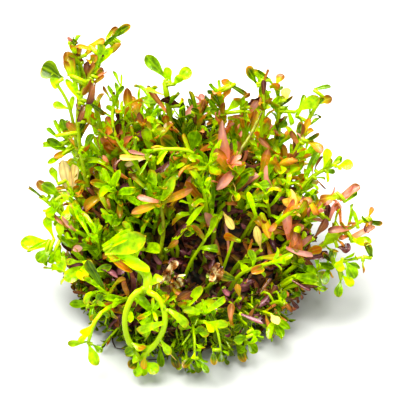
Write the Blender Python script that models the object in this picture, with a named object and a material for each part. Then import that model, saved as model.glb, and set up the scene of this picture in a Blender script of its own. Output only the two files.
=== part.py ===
"""Blood red dwarf rotala: a loose clump of small leafy shoots on a round mat of roots.

The clump stands on the flat underside of its root mat. The undergrowth, which is the mass of
the shortest shoots, sits over the mat like a cap, and the longer shoots stand in sockets in it.
Metres, +Z up. The origin is the centre of the mat's underside, and the front faces -Y.
"""

import math
import random

import bmesh
import bpy
from mathutils import Matrix, Vector, geometry, noise
from mathutils.bvhtree import BVHTree

MM = 0.001
SEED = 11

# Fit between neighbouring pieces
GAP = 0.3 * MM
SOCKET_DEPTH = 2.6 * MM
SOCKET_HEADROOM = 2.0 * MM

# Root mat
MAT_RADIUS = 24.3 * MM
MAT_HEIGHT = 8.0 * MM
MAT_SEGMENTS = 30
MAT_LUMPS = 1.2 * MM
LUMP_SIZE = 5.0 * MM
ROOT_COUNT = 12
ROOT_LENGTH = 5.0 * MM
ROOT_WIDTH = 0.9 * MM
ROOT_SWAY = 0.6
ROOT_SECTIONS = ((0.5, 0.5), (1.0, 0.3))

# Undergrowth: the mound of short shoots, with a hollow in front of its middle
MOUND_SEGMENTS = 32
MOUND_ROWS = 12
SEAT_RADIUS = MAT_RADIUS + MAT_LUMPS + GAP
SKIRT_HEIGHT = 4.0 * MM
SKIRT_THICKNESS = 1.4 * MM
REACH_LEFT = 31.0 * MM
REACH_RIGHT = 36.0 * MM
REACH_FRONT = 27.0 * MM
REACH_BACK = 29.0 * MM
HOLLOW_HEIGHT = 14.0 * MM
BACK_HEIGHT = 38.0 * MM
SLOPE_START = -13.0 * MM
SLOPE_LENGTH = 22.0 * MM
CREST_PLACE = 3.0 * MM
CREST_HALF_LENGTH = 32.0 * MM
SIDE_FALL = 10.0 * MM
FRONT_RIM_HEIGHT = 8.0 * MM
FRONT_RIM_PLACE = Vector((-8.0, -22.0)) * MM
FRONT_RIM_WIDTH = 9.0 * MM
MOUND_LUMPS = 1.3 * MM
TUFT_COUNT = 60
TUFT_LENGTH = 9.5 * MM
TUFT_LEAN = 1.2
TUFT_TURN = 0.5
UPRIGHT_SHARE = 0.5
TUFT_LENGTH_RANGE = (0.75, 1.2)
TUFT_BASE_SHARE = 0.3
TUFT_TRIALS = 12

# Each row of the mound from its seat on the mat to its top: its share of the reach and of the height
MOUND_PROFILE = (
    (0.90, 0.0), (1.0, 0.26), (1.04, 0.52), (1.03, 0.78), (0.95, 0.97),
    (0.82, 1.0), (0.67, 1.0), (0.50, 1.0), (0.30, 1.0), (0.0, 1.0),
)  # fmt: skip

# Shoots: square stems with pairs of leaves, each pair a quarter turn from the last
STEM_HALF_FOOT = 0.62 * MM
STEM_HALF_TIP = 0.42 * MM
PAIR_HALF_HEIGHT = 0.45 * MM
STEM_STRETCH = 6.5 * MM
CORNER_SIDES = ((1, 1), (-1, 1), (-1, -1), (1, -1))
ROUTE_STEPS = 16
TURN_BETWEEN_SHOOTS = math.radians(137.5)
LEAF_HALF_THICKNESS = 0.26 * MM
LEAF_WIDTH_RATIO = 0.5
LEAF_START = 1.0 * MM
LEAF_START_WIDTH = 0.45
LEAF_START_THICKNESS = 1.2
LEAF_BROADEST = 0.62
LEAF_TIP_WIDTH = 0.42
LEAF_TIP_THICKNESS = 0.7
LEAF_CURL = 0.10
LOWEST_LEAF_SHARE = 0.75
LEAF_LENGTH_RANGE = (0.92, 1.06)
PITCH_AT_FOOT = 20
PITCH_AT_TIP = 48
PITCH_SPREAD = 8

# What a leaf is tried at until it has room: more degrees of pitch, and a share of its length
TRIALS = ((0, 1.0), (16, 1.0), (-16, 1.0), (30, 0.9), (-34, 0.9), (8, 0.72), (-20, 0.6))

COLOURS = {
    "lime": (0.36, 0.62, 0.03),
    "green": (0.13, 0.36, 0.02),
    "olive": (0.33, 0.31, 0.04),
    "red": (0.36, 0.12, 0.06),
    "pink": (0.58, 0.26, 0.17),
    "undergrowth": (0.16, 0.25, 0.03),
    "roots": (0.07, 0.05, 0.02),
}

# Each longer shoot: its name, its colour, how many pairs of leaves it has and how far apart,
# how long they are, and the points that its stem runs through, from inside the undergrowth to
# its tip. Lengths and points are in millimetres.
SHOOTS = (
    ("shoot_tall_left", "olive", 5, 8.5, 7.5,
     ((-22, 5, 18), (-25, 9, 34), (-26, 13, 50), (-22, 17, 61), (-13, 23, 68))),
    ("shoot_tall_leaf", "olive", 3, 7.0, 7.0, ((-27, 10, 15), (-30, 14, 34), (-30, 16, 50), (-33, 17, 59))),
    ("shoot_tall_bud", "green", 4, 6.5, 6.0, ((-20, 14, 24), (-21, 17, 44), (-25, 20, 60), (-28, 23, 66))),
    ("shoot_slender", "lime", 3, 5.5, 5.0,
     ((-6, 1, 20), (-10, 5, 37), (-16, 10, 44), (-17, 14, 51), (-14, 19, 57))),
    ("shoot_olive_slant", "olive", 3, 5.0, 6.0,
     ((-6, 15, 27), (-12, 18, 42), (-16, 20, 48), (-21, 22, 52))),
    ("shoot_left_rear", "lime", 3, 5.0, 6.5, ((-18, 14, 16), (-28, 19, 32), (-33, 21, 41))),
    ("shoot_left_fan", "lime", 3, 5.0, 6.5, ((-22, 6, 14), (-32, 12, 31), (-38, 14, 37))),
    ("shoot_left_upright", "lime", 3, 5.5, 6.0, ((-14, 11, 24), (-15, 14, 41), (-15, 16, 48))),
    ("shoot_left_middle", "lime", 3, 5.0, 6.5, ((-22, -1, 14), (-32, 3, 25), (-39, 4, 32))),
    ("shoot_left_low", "lime", 3, 5.0, 7.0, ((-24, -4, 10), (-33, -6, 18), (-42, -7, 23))),
    ("shoot_left_drooping", "lime", 3, 5.0, 6.0,
     ((-22, -8, 10), (-32, -12, 15), (-35, -13, 9), (-34, -13, 4))),
    ("shoot_front_corner", "lime", 2, 5.0, 6.0, ((-16, -15, 10), (-25, -22, 14), (-29, -25, 9))),
    ("shoot_front_left", "lime", 3, 6.5, 7.0,
     ((-12, -16, 13), (-20, -27, 18), (-23, -30, 11), (-24, -31, 4))),
    ("shoot_loop_left", "lime", 3, 6.5, 6.0,
     ((-9, -18, 14), (-12, -26, 25), (-15, -31, 18), (-13, -32, 11), (-11, -32, 5))),
    ("shoot_loop_right", "lime", 3, 6.5, 6.0,
     ((-5, -18, 14), (-3, -27, 25), (-1, -31, 18), (-3, -31, 11), (-6, -32, 5))),
    ("shoot_front_lime", "lime", 2, 6.0, 8.5, ((-11, -15, 12), (-10, -18, 27), (-15, -17, 34))),
    ("shoot_hollow_left", "olive", 3, 5.5, 6.0, ((-6, -9, 8), (-5, -8, 20), (-4, -6, 28), (-5, -3, 36))),
    ("shoot_hollow_middle", "green", 3, 5.0, 6.5, ((0, -10, 8), (3, -10, 19), (6, -9, 25), (9, -7, 30))),
    ("shoot_hollow_right", "green", 3, 5.0, 6.0, ((10, -8, 8), (13, -9, 22), (15, -7, 29))),
    ("shoot_hollow_low", "lime", 2, 5.0, 6.0, ((12, -12, 7), (19, -14, 17), (26, -15, 21))),
    ("shoot_arching", "green", 3, 5.5, 5.5, ((6, 6, 25), (3, 7, 42), (-4, 7, 46), (-11, 5, 43))),
    ("shoot_back_trio", "lime", 2, 6.5, 8.0, ((-1, 21, 26), (-3, 24, 44), (-4, 26, 50))),
    ("shoot_back_red", "red", 3, 4.5, 6.0, ((-8, 12, 26), (-8, 14, 41), (-10, 16, 48))),
    ("shoot_back_middle", "red", 3, 4.5, 6.0, ((4, 15, 27), (5, 17, 44), (7, 18, 50))),
    ("shoot_crest_left", "lime", 3, 5.0, 6.5, ((11, 19, 28), (11, 23, 46), (8, 25, 52))),
    ("shoot_crest_middle", "green", 3, 5.0, 6.0, ((17, 19, 27), (17, 23, 46), (13, 25, 53))),
    ("shoot_crest_right", "lime", 3, 6.0, 6.0, ((21, 15, 26), (22, 20, 46), (21, 23, 56))),
    ("shoot_crest_far", "lime", 3, 6.0, 6.0, ((25, 15, 22), (28, 21, 44), (27, 24, 55))),
    ("shoot_right_reach", "lime", 3, 6.0, 6.5, ((27, 12, 18), (33, 20, 38), (37, 24, 45), (41, 27, 49))),
    ("shoot_right_upright", "lime", 3, 5.0, 6.0, ((23, 8, 22), (30, 12, 37), (33, 15, 44))),
    ("shoot_right_branch", "lime", 3, 5.5, 6.5, ((24, 2, 18), (33, 8, 30), (39, 10, 34), (46, 12, 37))),
    ("shoot_right_pink", "pink", 3, 5.0, 7.0, ((27, -1, 13), (37, 2, 27), (43, 4, 33))),
    ("shoot_right_tip", "pink", 3, 5.5, 6.5, ((30, -3, 10), (42, -2, 21), (50, 0, 26))),
    ("shoot_right_green", "green", 3, 5.0, 6.5, ((28, -6, 7), (40, -8, 16), (48, -8, 19))),
    ("shoot_right_droop", "green", 3, 5.0, 6.5, ((25, -9, 7), (37, -13, 13), (41, -14, 6))),
    ("shoot_right_low", "lime", 2, 5.0, 6.0, ((21, -13, 7), (32, -18, 12), (35, -20, 6))),
    ("shoot_right_brown", "red", 2, 4.5, 6.0, ((18, -16, 8), (27, -24, 12), (29, -27, 6))),
    ("shoot_coral", "pink", 3, 5.0, 7.5, ((21, -2, 14), (25, -4, 27), (30, -5, 34))),
    ("shoot_front_right", "green", 3, 4.5, 5.5, ((13, -18, 8), (19, -29, 14), (20, -32, 7))),
    ("shoot_front_middle", "green", 3, 4.5, 5.5, ((8, -19, 8), (10, -30, 14), (11, -33, 7))),
    ("shoot_front_low", "lime", 2, 4.5, 5.0, ((3, -19, 9), (4, -30, 12), (4, -33, 6))),
    ("shoot_middle_pink", "pink", 2, 7.0, 8.5, ((13, 1, 20), (13, 2, 36), (12, 4, 44))),
    ("shoot_middle_lime", "lime", 3, 4.5, 5.5, ((7, -1, 18), (7, -3, 33), (6, -3, 40))),
    ("shoot_rear_left", "green", 3, 5.0, 6.0, ((-18, 16, 9), (-28, 26, 20), (-31, 30, 27))),
    ("shoot_rear_middle", "lime", 3, 5.0, 6.0, ((-5, 20, 13), (-7, 33, 25), (-8, 37, 33))),
    ("shoot_rear_drooping", "green", 3, 4.5, 5.5, ((4, 20, 13), (6, 33, 16), (7, 36, 8))),
    ("shoot_rear_right", "lime", 3, 5.0, 6.0, ((13, 19, 16), (18, 31, 28), (21, 34, 35))),
)  # fmt: skip


def ease(value):
    """Ease from 0 to 1 as the value goes from 0 to 1."""
    share = min(max(value, 0.0), 1.0)
    return share * share * (3 - 2 * share)


def reach(azimuth):
    """How far the undergrowth spreads from the middle in this direction."""
    across = REACH_RIGHT if math.cos(azimuth) > 0 else REACH_LEFT
    along = REACH_BACK if math.sin(azimuth) > 0 else REACH_FRONT
    return 1 / math.hypot(math.cos(azimuth) / across, math.sin(azimuth) / along)


def mound_height(x, y):
    """Height of the undergrowth's top: low in the hollow, high at the back, with a rim at the front."""
    climb = ease((y - SLOPE_START) / SLOPE_LENGTH)
    height = HOLLOW_HEIGHT + (BACK_HEIGHT - HOLLOW_HEIGHT) * climb
    height -= SIDE_FALL * ((x - CREST_PLACE) / CREST_HALF_LENGTH) ** 2 * climb
    from_rim = (Vector((x, y)) - FRONT_RIM_PLACE).length / FRONT_RIM_WIDTH
    return height + FRONT_RIM_HEIGHT * math.exp(-from_rim * from_rim)


def mound_point(row, azimuth, draw):
    """A point of the mound: its first three rows are the seat over the mat, and the rest its outside."""
    outward = Vector((math.cos(azimuth), math.sin(azimuth), 0))
    seat_top = Vector((0, 0, MAT_HEIGHT + GAP))
    if row < 2:
        return outward * SEAT_RADIUS * row + seat_top
    if row == 2:
        return outward * SEAT_RADIUS + Vector((0, 0, SKIRT_HEIGHT))
    reach_share, height_share = MOUND_PROFILE[row - 3]
    radius = reach(azimuth) * reach_share
    if reach_share:
        radius += draw.uniform(-1, 1) * MOUND_LUMPS
    if height_share < 1:
        radius = max(radius, SEAT_RADIUS + SKIRT_THICKNESS)
    place = outward * radius
    top = mound_height(place.x, place.y) - SKIRT_HEIGHT
    place.z = SKIRT_HEIGHT + top * height_share
    if height_share:
        place.z += draw.uniform(-1, 1) * MOUND_LUMPS
    return place


def mound_bmesh(draw):
    """The mound, from a ball whose rows are moved to the seat, the skirt, the side and the top.

    It also gives the small faces that its leaves grow from. They stand in the widest of every
    second face outside, in a chequered order.
    """
    bm = bmesh.new()
    bmesh.ops.create_uvsphere(bm, u_segments=MOUND_SEGMENTS, v_segments=MOUND_ROWS, radius=1)
    tuft_faces = []
    for face in bm.faces:
        centre = face.calc_center_median().normalized()
        row = int(math.acos(-centre.z) / math.pi * MOUND_ROWS)
        segment = int((math.atan2(centre.y, centre.x) / math.tau + 1) * MOUND_SEGMENTS)
        if len(face.verts) == 4 and row >= 4 and (segment + row) % 2 == 0:
            tuft_faces.append(face)
    for vert in bm.verts:
        row = round(math.acos(max(min(-vert.co.z, 1), -1)) / math.pi * MOUND_ROWS)
        vert.co = mound_point(row, math.atan2(vert.co.y, vert.co.x), draw)
    bmesh.ops.recalc_face_normals(bm, faces=bm.faces)
    tuft_faces.sort(key=lambda face: face.calc_area(), reverse=True)
    del tuft_faces[TUFT_COUNT:]
    bmesh.ops.inset_individual(bm, faces=tuft_faces, thickness=GAP)
    for face in tuft_faces:
        shrink_flat(face)
    bmesh.ops.triangulate(bm, faces=[face for face in bm.faces if face not in tuft_faces])
    return bm, tuft_faces


def shrink_flat(face):
    """Shrinks a face towards its middle and makes it flat."""
    middle = face.calc_center_median()
    normal = face.normal.copy()
    for vert in face.verts:
        away = (vert.co - middle) * TUFT_BASE_SHARE
        vert.co = middle + away - normal * away.dot(normal)


def smooth_route(points):
    """Close points along one smooth curve through the given ones."""
    knots = [Vector(point) * MM for point in points]
    padded = [2 * knots[0] - knots[1]] + knots + [2 * knots[-1] - knots[-2]]
    curve = []
    for before, start, end, after in zip(padded, padded[1:], padded[2:], padded[3:]):
        handles = (start + (end - before) / 6, end - (after - start) / 6)
        curve += geometry.interpolate_bezier(start, *handles, end, ROUTE_STEPS)[:-1]
    return curve + [knots[-1]]


def frames_along(curve, turn):
    """The curve's points with their distance from its start, direction and two square side directions."""
    frames = []
    distance = 0.0
    side = None
    for i, point in enumerate(curve):
        ahead = curve[min(i + 1, len(curve) - 1)]
        behind = curve[max(i - 1, 0)]
        along = (ahead - behind).normalized()
        if side is None:
            side = Matrix.Rotation(turn, 3, along) @ along.orthogonal()
        else:
            distance += (point - curve[i - 1]).length
        side = (side - along * side.dot(along)).normalized()
        frames.append((distance, point, along, side, along.cross(side)))
    return frames


def frame_at(frames, distance):
    """The point and the three directions at a distance along the curve."""
    for low, high in zip(frames, frames[1:]):
        if distance <= high[0]:
            share = max((distance - low[0]) / (high[0] - low[0]), 0)
            point, *axes = (a.lerp(b, share) for a, b in zip(low[1:], high[1:]))
            return (point, *(axis.normalized() for axis in axes))
    return frames[-1][1:]


def is_inside(tree, point):
    """Whether a point lies inside the closed skin of a tree."""
    place, normal, _, _ = tree.find_nearest(point)
    return (point - place).dot(normal) < 0


def foot_distance(frames, mound):
    """Where along its curve a stem starts: in its socket, just under the undergrowth's surface."""
    entered = False
    for distance, point, *_ in frames:
        inside = is_inside(mound, point)
        if entered and not inside:
            return distance - SOCKET_DEPTH
        entered = entered or inside
    raise ValueError("a shoot never leaves the undergrowth")


def square_corners(frame, half):
    """The four corners of a square section of a stem, in order round it."""
    centre, _, side, front = frame
    return [centre + side * half * a + front * half * b for a, b in CORNER_SIDES]


def extrude(bm, ring, places):
    """Extrudes the face on a ring of corners, moves the new corners to their places and gives them."""
    made = bmesh.ops.extrude_discrete_faces(bm, faces=[bm.faces.get(ring)])["faces"][0]
    new_ring = []
    for vert in ring:
        new_ring += [e.other_vert(vert) for e in vert.link_edges if e.other_vert(vert) in made.verts]
    for vert, place in zip(new_ring, places):
        vert.co = place
    return new_ring


def leaf_sections(base, direction, across, length, grown=0.0):
    """Corners of a leaf near its start, where it is broadest and at its tip, all thicker by grown."""
    normal = direction.cross(across).normalized()
    sections = []
    for share, width, thickness in (
        (LEAF_START / length, LEAF_START_WIDTH, LEAF_START_THICKNESS),
        (LEAF_BROADEST, 1.0, 1.0),
        (1.0, LEAF_TIP_WIDTH, LEAF_TIP_THICKNESS),
    ):
        centre = base + direction * (length * share + (grown if share == 1 else 0))
        centre -= normal * LEAF_CURL * length * share * share
        half_width = length * LEAF_WIDTH_RATIO / 2 * width + grown
        half_thickness = LEAF_HALF_THICKNESS * thickness + grown
        corners = ((-1, -1), (1, -1), (1, 1), (-1, 1))
        sections.append([centre + across * half_width * a + normal * half_thickness * b for a, b in corners])
    return sections


def tree_of(sections):
    """A search tree of the closed skin over a row of four-cornered sections."""
    corners = [corner for section in sections for corner in section]
    faces = [(3, 2, 1, 0)]
    for start in range(0, 4 * (len(sections) - 1), 4):
        faces += [(start + i, start + (i + 1) % 4, start + 4 + (i + 1) % 4, start + 4 + i) for i in range(4)]
    faces.append(tuple(range(len(corners) - 4, len(corners))))
    return BVHTree.FromPolygons(corners, faces)


def is_clear(sections, obstacles, mound):
    """Whether a leaf touches no obstacle and stays out of the mound and off the floor."""
    corners = [corner for section in sections for corner in section]
    if min(corner.z for corner in corners) < GAP:
        return False
    if any(is_inside(mound, corner) for corner in corners):
        return False
    leaf = tree_of(sections)
    return not any(leaf.overlap(tree) for tree in (*obstacles, mound))


def grow_leaf(bm, ring, along, length, pitch, steps, obstacles, mound):
    """Grows a leaf out of a small face, at the first angle and length that has room."""
    base = sum((vert.co for vert in ring), Vector()) / 4
    across = (ring[1].co - ring[0].co).normalized()
    outward = across.cross(along).normalized()
    for extra, share in TRIALS:
        angle = math.radians(pitch + extra)
        direction = outward * math.cos(angle) + along * math.sin(angle)
        if is_clear(leaf_sections(base, direction, across, length * share, GAP), obstacles, mound):
            sections = leaf_sections(base, direction, across, length * share)
            for section in sections[1 : 1 + steps]:
                ring = extrude(bm, ring, section)
            return tree_of(sections)
    return None


def stem_bmesh(frames, stops):
    """A square stem with a ring of corners at each stop, and those rings."""
    total = frames[-1][0]
    bm = bmesh.new()
    bmesh.ops.create_cube(bm, size=1)
    rings = []
    for level in (-1, 1):
        flat = [vert for vert in bm.verts if vert.co.z * level > 0]
        rings.append([next(v for v in flat if v.co.x * a > 0 and v.co.y * b > 0) for a, b in CORNER_SIDES])
    sections = []
    for stop in stops:
        half = STEM_HALF_FOOT + (STEM_HALF_TIP - STEM_HALF_FOOT) * stop / total
        sections.append(square_corners(frame_at(frames, stop), half))
    for ring, section in zip(rings, sections):
        for vert, place in zip(ring, section):
            vert.co = place
    for section in sections[2:]:
        rings.append(extrude(bm, rings[-1], section))
    return bm, rings


def pair_places(row, frames):
    """Where along its curve a shoot's pairs of leaves stand, from the lowest to the one at its tip."""
    last = frames[-1][0] - PAIR_HALF_HEIGHT
    return [last - row[3] * MM * i for i in reversed(range(row[2]))]


def bare_shoot(row, frames, foot):
    """A shoot's stem, with a short stretch for each pair of leaves, and the two rings of each."""
    places = pair_places(row, frames)
    bare = places[0] - PAIR_HALF_HEIGHT - foot
    count = math.ceil(bare / STEM_STRETCH)
    stops = [foot + bare * i / count for i in range(count)]
    for place in places:
        stops += [place - PAIR_HALF_HEIGHT, place + PAIR_HALF_HEIGHT]
    bm, rings = stem_bmesh(frames, stops)
    return bm, rings[-2 * len(places) :]


def grow_leaves(bm, rings, row, frames, mound, obstacles, draw):
    """Grows a shoot's leaves out of the sides of its stem, where they have room."""
    _, _, pairs, _, leaf_length, _ = row
    for i, place in enumerate(pair_places(row, frames)):
        lower, upper = rings[2 * i], rings[2 * i + 1]
        along = frame_at(frames, place)[1]
        share = (i + 1) / pairs
        pitch = PITCH_AT_FOOT + (PITCH_AT_TIP - PITCH_AT_FOOT) * share
        pitch += draw.uniform(-1, 1) * PITCH_SPREAD
        length = leaf_length * MM * (LOWEST_LEAF_SHARE + (1 - LOWEST_LEAF_SHARE) * share)
        length *= draw.uniform(*LEAF_LENGTH_RANGE)
        steps = 1 if i == 0 and pairs > 2 else 2
        for side in (i % 2, i % 2 + 2):
            after = (side + 1) % 4
            ring = [lower[side], lower[after], upper[after], upper[side]]
            leaf = grow_leaf(bm, ring, along, length, pitch, steps, obstacles, mound)
            if leaf:
                obstacles.append(leaf)


def socket_bmesh(frames, foot):
    """The cutter of a shoot's socket: the foot of its stem with clearance all round."""
    bm = bmesh.new()
    bmesh.ops.create_cube(bm, size=1)
    half = STEM_HALF_FOOT + GAP
    for vert in bm.verts:
        distance = foot - GAP if vert.co.z < 0 else foot + SOCKET_DEPTH + SOCKET_HEADROOM
        centre, _, side, front = frame_at(frames, distance)
        vert.co = centre + side * math.copysign(half, vert.co.x) + front * math.copysign(half, vert.co.y)
    bmesh.ops.recalc_face_normals(bm, faces=bm.faces)
    return bm


def tuft_leaf(ring, draw):
    """A function that gives a short shoot's leaf on a small face as sections, all grown by a margin."""
    corners = [vert.co.copy() for vert in ring]
    base = sum(corners, Vector()) / 4
    edge = corners[1] - corners[0]
    facing = edge.cross(corners[2] - corners[1]).normalized()
    sway = Vector((draw.uniform(-1, 1), draw.uniform(-1, 1), draw.uniform(-0.3, 1)))
    direction = (facing + sway * TUFT_LEAN).normalized()
    across = (edge - direction * edge.dot(direction)).normalized()
    across = Matrix.Rotation(draw.uniform(-1, 1) * TUFT_TURN, 3, direction) @ across
    length = TUFT_LENGTH * draw.uniform(*TUFT_LENGTH_RANGE)

    def sections(grown):
        foot = [corner + facing * grown for corner in corners]
        return [foot, *leaf_sections(base, direction, across, length, grown)[1:]]

    return sections


def grow_tufts(bm, faces, obstacles, mound, draw):
    """Grows the short shoots' leaves out of the mound's small faces, where they have room."""
    around = list(obstacles)
    for face in faces:
        ring = list(face.verts)
        if draw.random() < UPRIGHT_SHARE:
            ring = ring[1:] + ring[:1]
        for sections in (tuft_leaf(ring, draw) for _ in range(TUFT_TRIALS)):
            skin = tree_of(sections(GAP))
            touches = any(skin.overlap(tree) for tree in (*around, mound))
            if not touches and is_clear(sections(GAP)[1:], [], mound):
                for section in sections(0.0)[1:]:
                    ring = extrude(bm, ring, section)
                around.append(skin)
                break


def root_mat_bmesh(draw):
    """The round mat of matted roots: a flat disc with a lumpy side and loose roots round its foot."""
    bm = bmesh.new()
    bmesh.ops.create_cone(
        bm, cap_ends=True, segments=MAT_SEGMENTS, radius1=MAT_RADIUS, radius2=MAT_RADIUS, depth=MAT_HEIGHT
    )
    upright = [edge for edge in bm.edges if abs(edge.verts[0].co.z - edge.verts[1].co.z) > GAP]
    bmesh.ops.subdivide_edges(bm, edges=upright, cuts=2)
    for vert in bm.verts:
        vert.co.z += MAT_HEIGHT / 2
        vert.co.xy *= 1 + noise.noise(vert.co / LUMP_SIZE) * MAT_LUMPS / MAT_RADIUS
    low = [face for face in bm.faces if len(face.verts) == 4 and face.calc_center_median().z < MAT_HEIGHT / 3]
    for face in draw.sample(low, ROOT_COUNT):
        grow_root(bm, face, draw.uniform(-1, 1) * ROOT_SWAY)
    return bm


def grow_root(bm, face, sway):
    """Grows a loose root out of a face at the mat's foot, down to just over the floor."""
    start = face.calc_center_median()
    outward = Vector((start.x, start.y, 0)).normalized()
    across = Vector((0, 0, 1)).cross(outward)
    ring = list(face.verts)
    for share, width in ROOT_SECTIONS:
        centre = start + (outward + across * sway * share) * ROOT_LENGTH * share
        centre.z = start.z + (ROOT_WIDTH - start.z) * share
        places = []
        for vert in ring:
            away = vert.co - start
            aside = math.copysign(ROOT_WIDTH * width, away.dot(across))
            places.append(centre + across * aside + Vector((0, 0, math.copysign(ROOT_WIDTH * width, away.z))))
        ring = extrude(bm, ring, places)


def material(name, colour):
    """A piece's own plain material."""
    made = bpy.data.materials.new(name)
    made.use_nodes = True
    shader = made.node_tree.nodes["Principled BSDF"]
    shader.inputs["Base Color"].default_value = (*COLOURS[colour], 1)
    shader.inputs["Roughness"].default_value = 0.45
    shader.inputs["Metallic"].default_value = 0.0
    return made


def add_piece(name, bm, colour, collection):
    """Makes an object of a mesh, with its own material, in a collection."""
    mesh = bpy.data.meshes.new(name)
    bmesh.ops.recalc_face_normals(bm, faces=bm.faces)
    bm.to_mesh(mesh)
    bm.free()
    mesh.materials.append(material(name, colour))
    piece = bpy.data.objects.new(name, mesh)
    collection.objects.link(piece)
    return piece


def main():
    """Clears the scene and builds the clump."""
    for leftover in list(bpy.data.objects):
        bpy.data.objects.remove(leftover, do_unlink=True)
    draw = random.Random(SEED)
    clump = bpy.data.collections.new("dwarf_rotala")
    cutters = bpy.data.collections.new("cutters")
    bpy.context.scene.collection.children.link(clump)
    bpy.context.scene.collection.children.link(cutters)

    add_piece("root_mat", root_mat_bmesh(draw), "roots", clump)
    under, tuft_faces = mound_bmesh(draw)
    mound = BVHTree.FromBMesh(under)
    shoots = []
    obstacles = []
    for i, row in enumerate(SHOOTS):
        frames = frames_along(smooth_route(row[-1]), i * TURN_BETWEEN_SHOOTS)
        foot = foot_distance(frames, mound)
        bm, rings = bare_shoot(row, frames, foot)
        socket = socket_bmesh(frames, foot)
        shoots.append((row, frames, bm, rings, BVHTree.FromBMesh(socket)))
        obstacles.append(BVHTree.FromBMesh(bm))
        cutter = add_piece("socket_of_" + row[0], socket, "undergrowth", cutters)
        cutter.hide_render = True
        cutter.display_type = "WIRE"
    for row, frames, bm, rings, _ in shoots:
        grow_leaves(bm, rings, row, frames, mound, obstacles, draw)
        add_piece(row[0], bm, row[1], clump)
    obstacles += [shoot[-1] for shoot in shoots]

    grow_tufts(under, tuft_faces, obstacles, mound, draw)
    bmesh.ops.triangulate(under, faces=under.faces)
    undergrowth = add_piece("undergrowth", under, "undergrowth", clump)
    for cutter in cutters.objects:
        cut = undergrowth.modifiers.new(cutter.name, "BOOLEAN")
        cut.operation = "DIFFERENCE"
        cut.solver = "EXACT"
        cut.object = cutter


main()
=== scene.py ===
"""Blood red dwarf rotala: the leaves, stems, litter and roots of the clump, over its solids.

Each longer shoot is grown along the route that its solid has, and stands in for that solid. The
undergrowth's solid gives way to several hundred short shoots round a dark heap of old leaves and
stems, whose nearly black colour is partly painted shade, and the root mat's to a disc of felted
roots with loose ones round its foot. Single leaves that stand out are placed one by one, each on
the stem that carries it.
"""

import math
import random
from typing import NamedTuple

import bmesh
import bpy
import numpy as np
from bpy.props import FloatProperty, FloatVectorProperty, IntProperty, PointerProperty
from mathutils import Matrix, Vector, geometry, noise


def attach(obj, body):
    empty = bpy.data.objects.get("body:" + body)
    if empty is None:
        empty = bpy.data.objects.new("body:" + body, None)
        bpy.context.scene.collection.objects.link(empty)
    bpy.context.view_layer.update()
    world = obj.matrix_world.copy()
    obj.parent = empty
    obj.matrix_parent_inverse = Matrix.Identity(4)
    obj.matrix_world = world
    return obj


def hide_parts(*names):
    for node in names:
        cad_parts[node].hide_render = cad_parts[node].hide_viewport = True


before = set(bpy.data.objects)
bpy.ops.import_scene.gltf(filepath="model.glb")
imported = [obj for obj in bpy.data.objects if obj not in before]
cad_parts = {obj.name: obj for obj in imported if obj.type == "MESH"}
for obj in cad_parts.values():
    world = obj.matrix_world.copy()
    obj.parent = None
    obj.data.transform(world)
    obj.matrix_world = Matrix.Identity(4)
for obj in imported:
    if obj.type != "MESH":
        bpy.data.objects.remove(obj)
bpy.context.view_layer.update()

bl_info = {
    "name": "Dwarf rotala clump",
    "version": (1, 0, 0),
    "blender": (4, 5, 0),
    "location": "3D View > Sidebar > Rotala",
    "description": "Grows the leaves, stems, litter and roots of a clump of dwarf rotala",
    "category": "Object",
}

MM = 0.001
SEED = 23
UP = Vector((0, 0, 1))
BODY = "root"
PICTURE_SIDE = 400

# The clump's form, as its solids have it
MAT_RADIUS = 24.3 * MM
MAT_HEIGHT = 8.0 * MM
SKIRT_HEIGHT = 4.0 * MM
REACH_LEFT = 31.0 * MM
REACH_RIGHT = 36.0 * MM
REACH_FRONT = 27.0 * MM
REACH_BACK = 29.0 * MM
HOLLOW_HEIGHT = 14.0 * MM
BACK_HEIGHT = 38.0 * MM
SLOPE_START = -13.0 * MM
SLOPE_LENGTH = 22.0 * MM
CREST_PLACE = 3.0 * MM
CREST_HALF_LENGTH = 32.0 * MM
SIDE_FALL = 10.0 * MM
FRONT_RIM_HEIGHT = 8.0 * MM
FRONT_RIM_PLACE = Vector((-8.0, -22.0)) * MM
FRONT_RIM_WIDTH = 9.0 * MM
# How far out and how high the mound's side and top are, as shares of its reach and its height
MOUND_PROFILE = (
    (0.90, 0.0), (1.0, 0.26), (1.04, 0.52), (1.03, 0.78), (0.95, 0.97),
    (0.82, 1.0), (0.67, 1.0), (0.50, 1.0), (0.30, 1.0), (0.0, 1.0),
)  # fmt: skip

# How leaves differ: the spread of their width, the least cup and crumple, the width of the last row
# at the tip, how much thinner the tip is, and how many radians the waves of a crumple run through
# from foot to tip, along the leaf, at its edges and over its middle
WIDTH_SPREAD = (0.85, 1.15)
LEAST_CUP = 0.05
LEAST_CRUMPLE = 0.02
LEAF_TIP = 0.12
TIP_THINNING = 0.6
LENGTH_WAVE = 6
EDGE_WAVE = 5
FOLD_WAVE = 8
# Single leaves are drawn a little wider and longer than they look, because they bend
MARKED_WIDER = 1.1
MARKED_LONGER = 1.06
# How far in front of the mound they start where it carries them, how far past the last one a longer
# shoot runs, and from what distance off their shoot they have a side stem
BEFORE_SURFACE = 2 * MM
PAST_MARKED = 0.8 * MM
LEAST_SIDE_STEM = 0.8 * MM
# A short shoot keeps clear of single leaves from this far in front of them to this far behind
CLEAR_BEFORE = 15 * MM
CLEAR_BEHIND = 1 * MM

# How stems grow: their sides, how far apart their rings are, how far below a pair of leaves and below
# the tip a ring is, and how narrow the end of the tip is
LONG_SIDES = 8
SHORT_SIDES = 6
OLD_SIDES = 5
RING_SPACING = 1.8 * MM
BELOW_NODE = 0.6 * MM
BELOW_TIP = 0.3 * MM
TIP_NARROWING = 0.4
# How much a stem swells where leaves stand, and over what length
SWELLING = 0.22
SWELLING_LENGTH = 0.5 * MM
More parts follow.
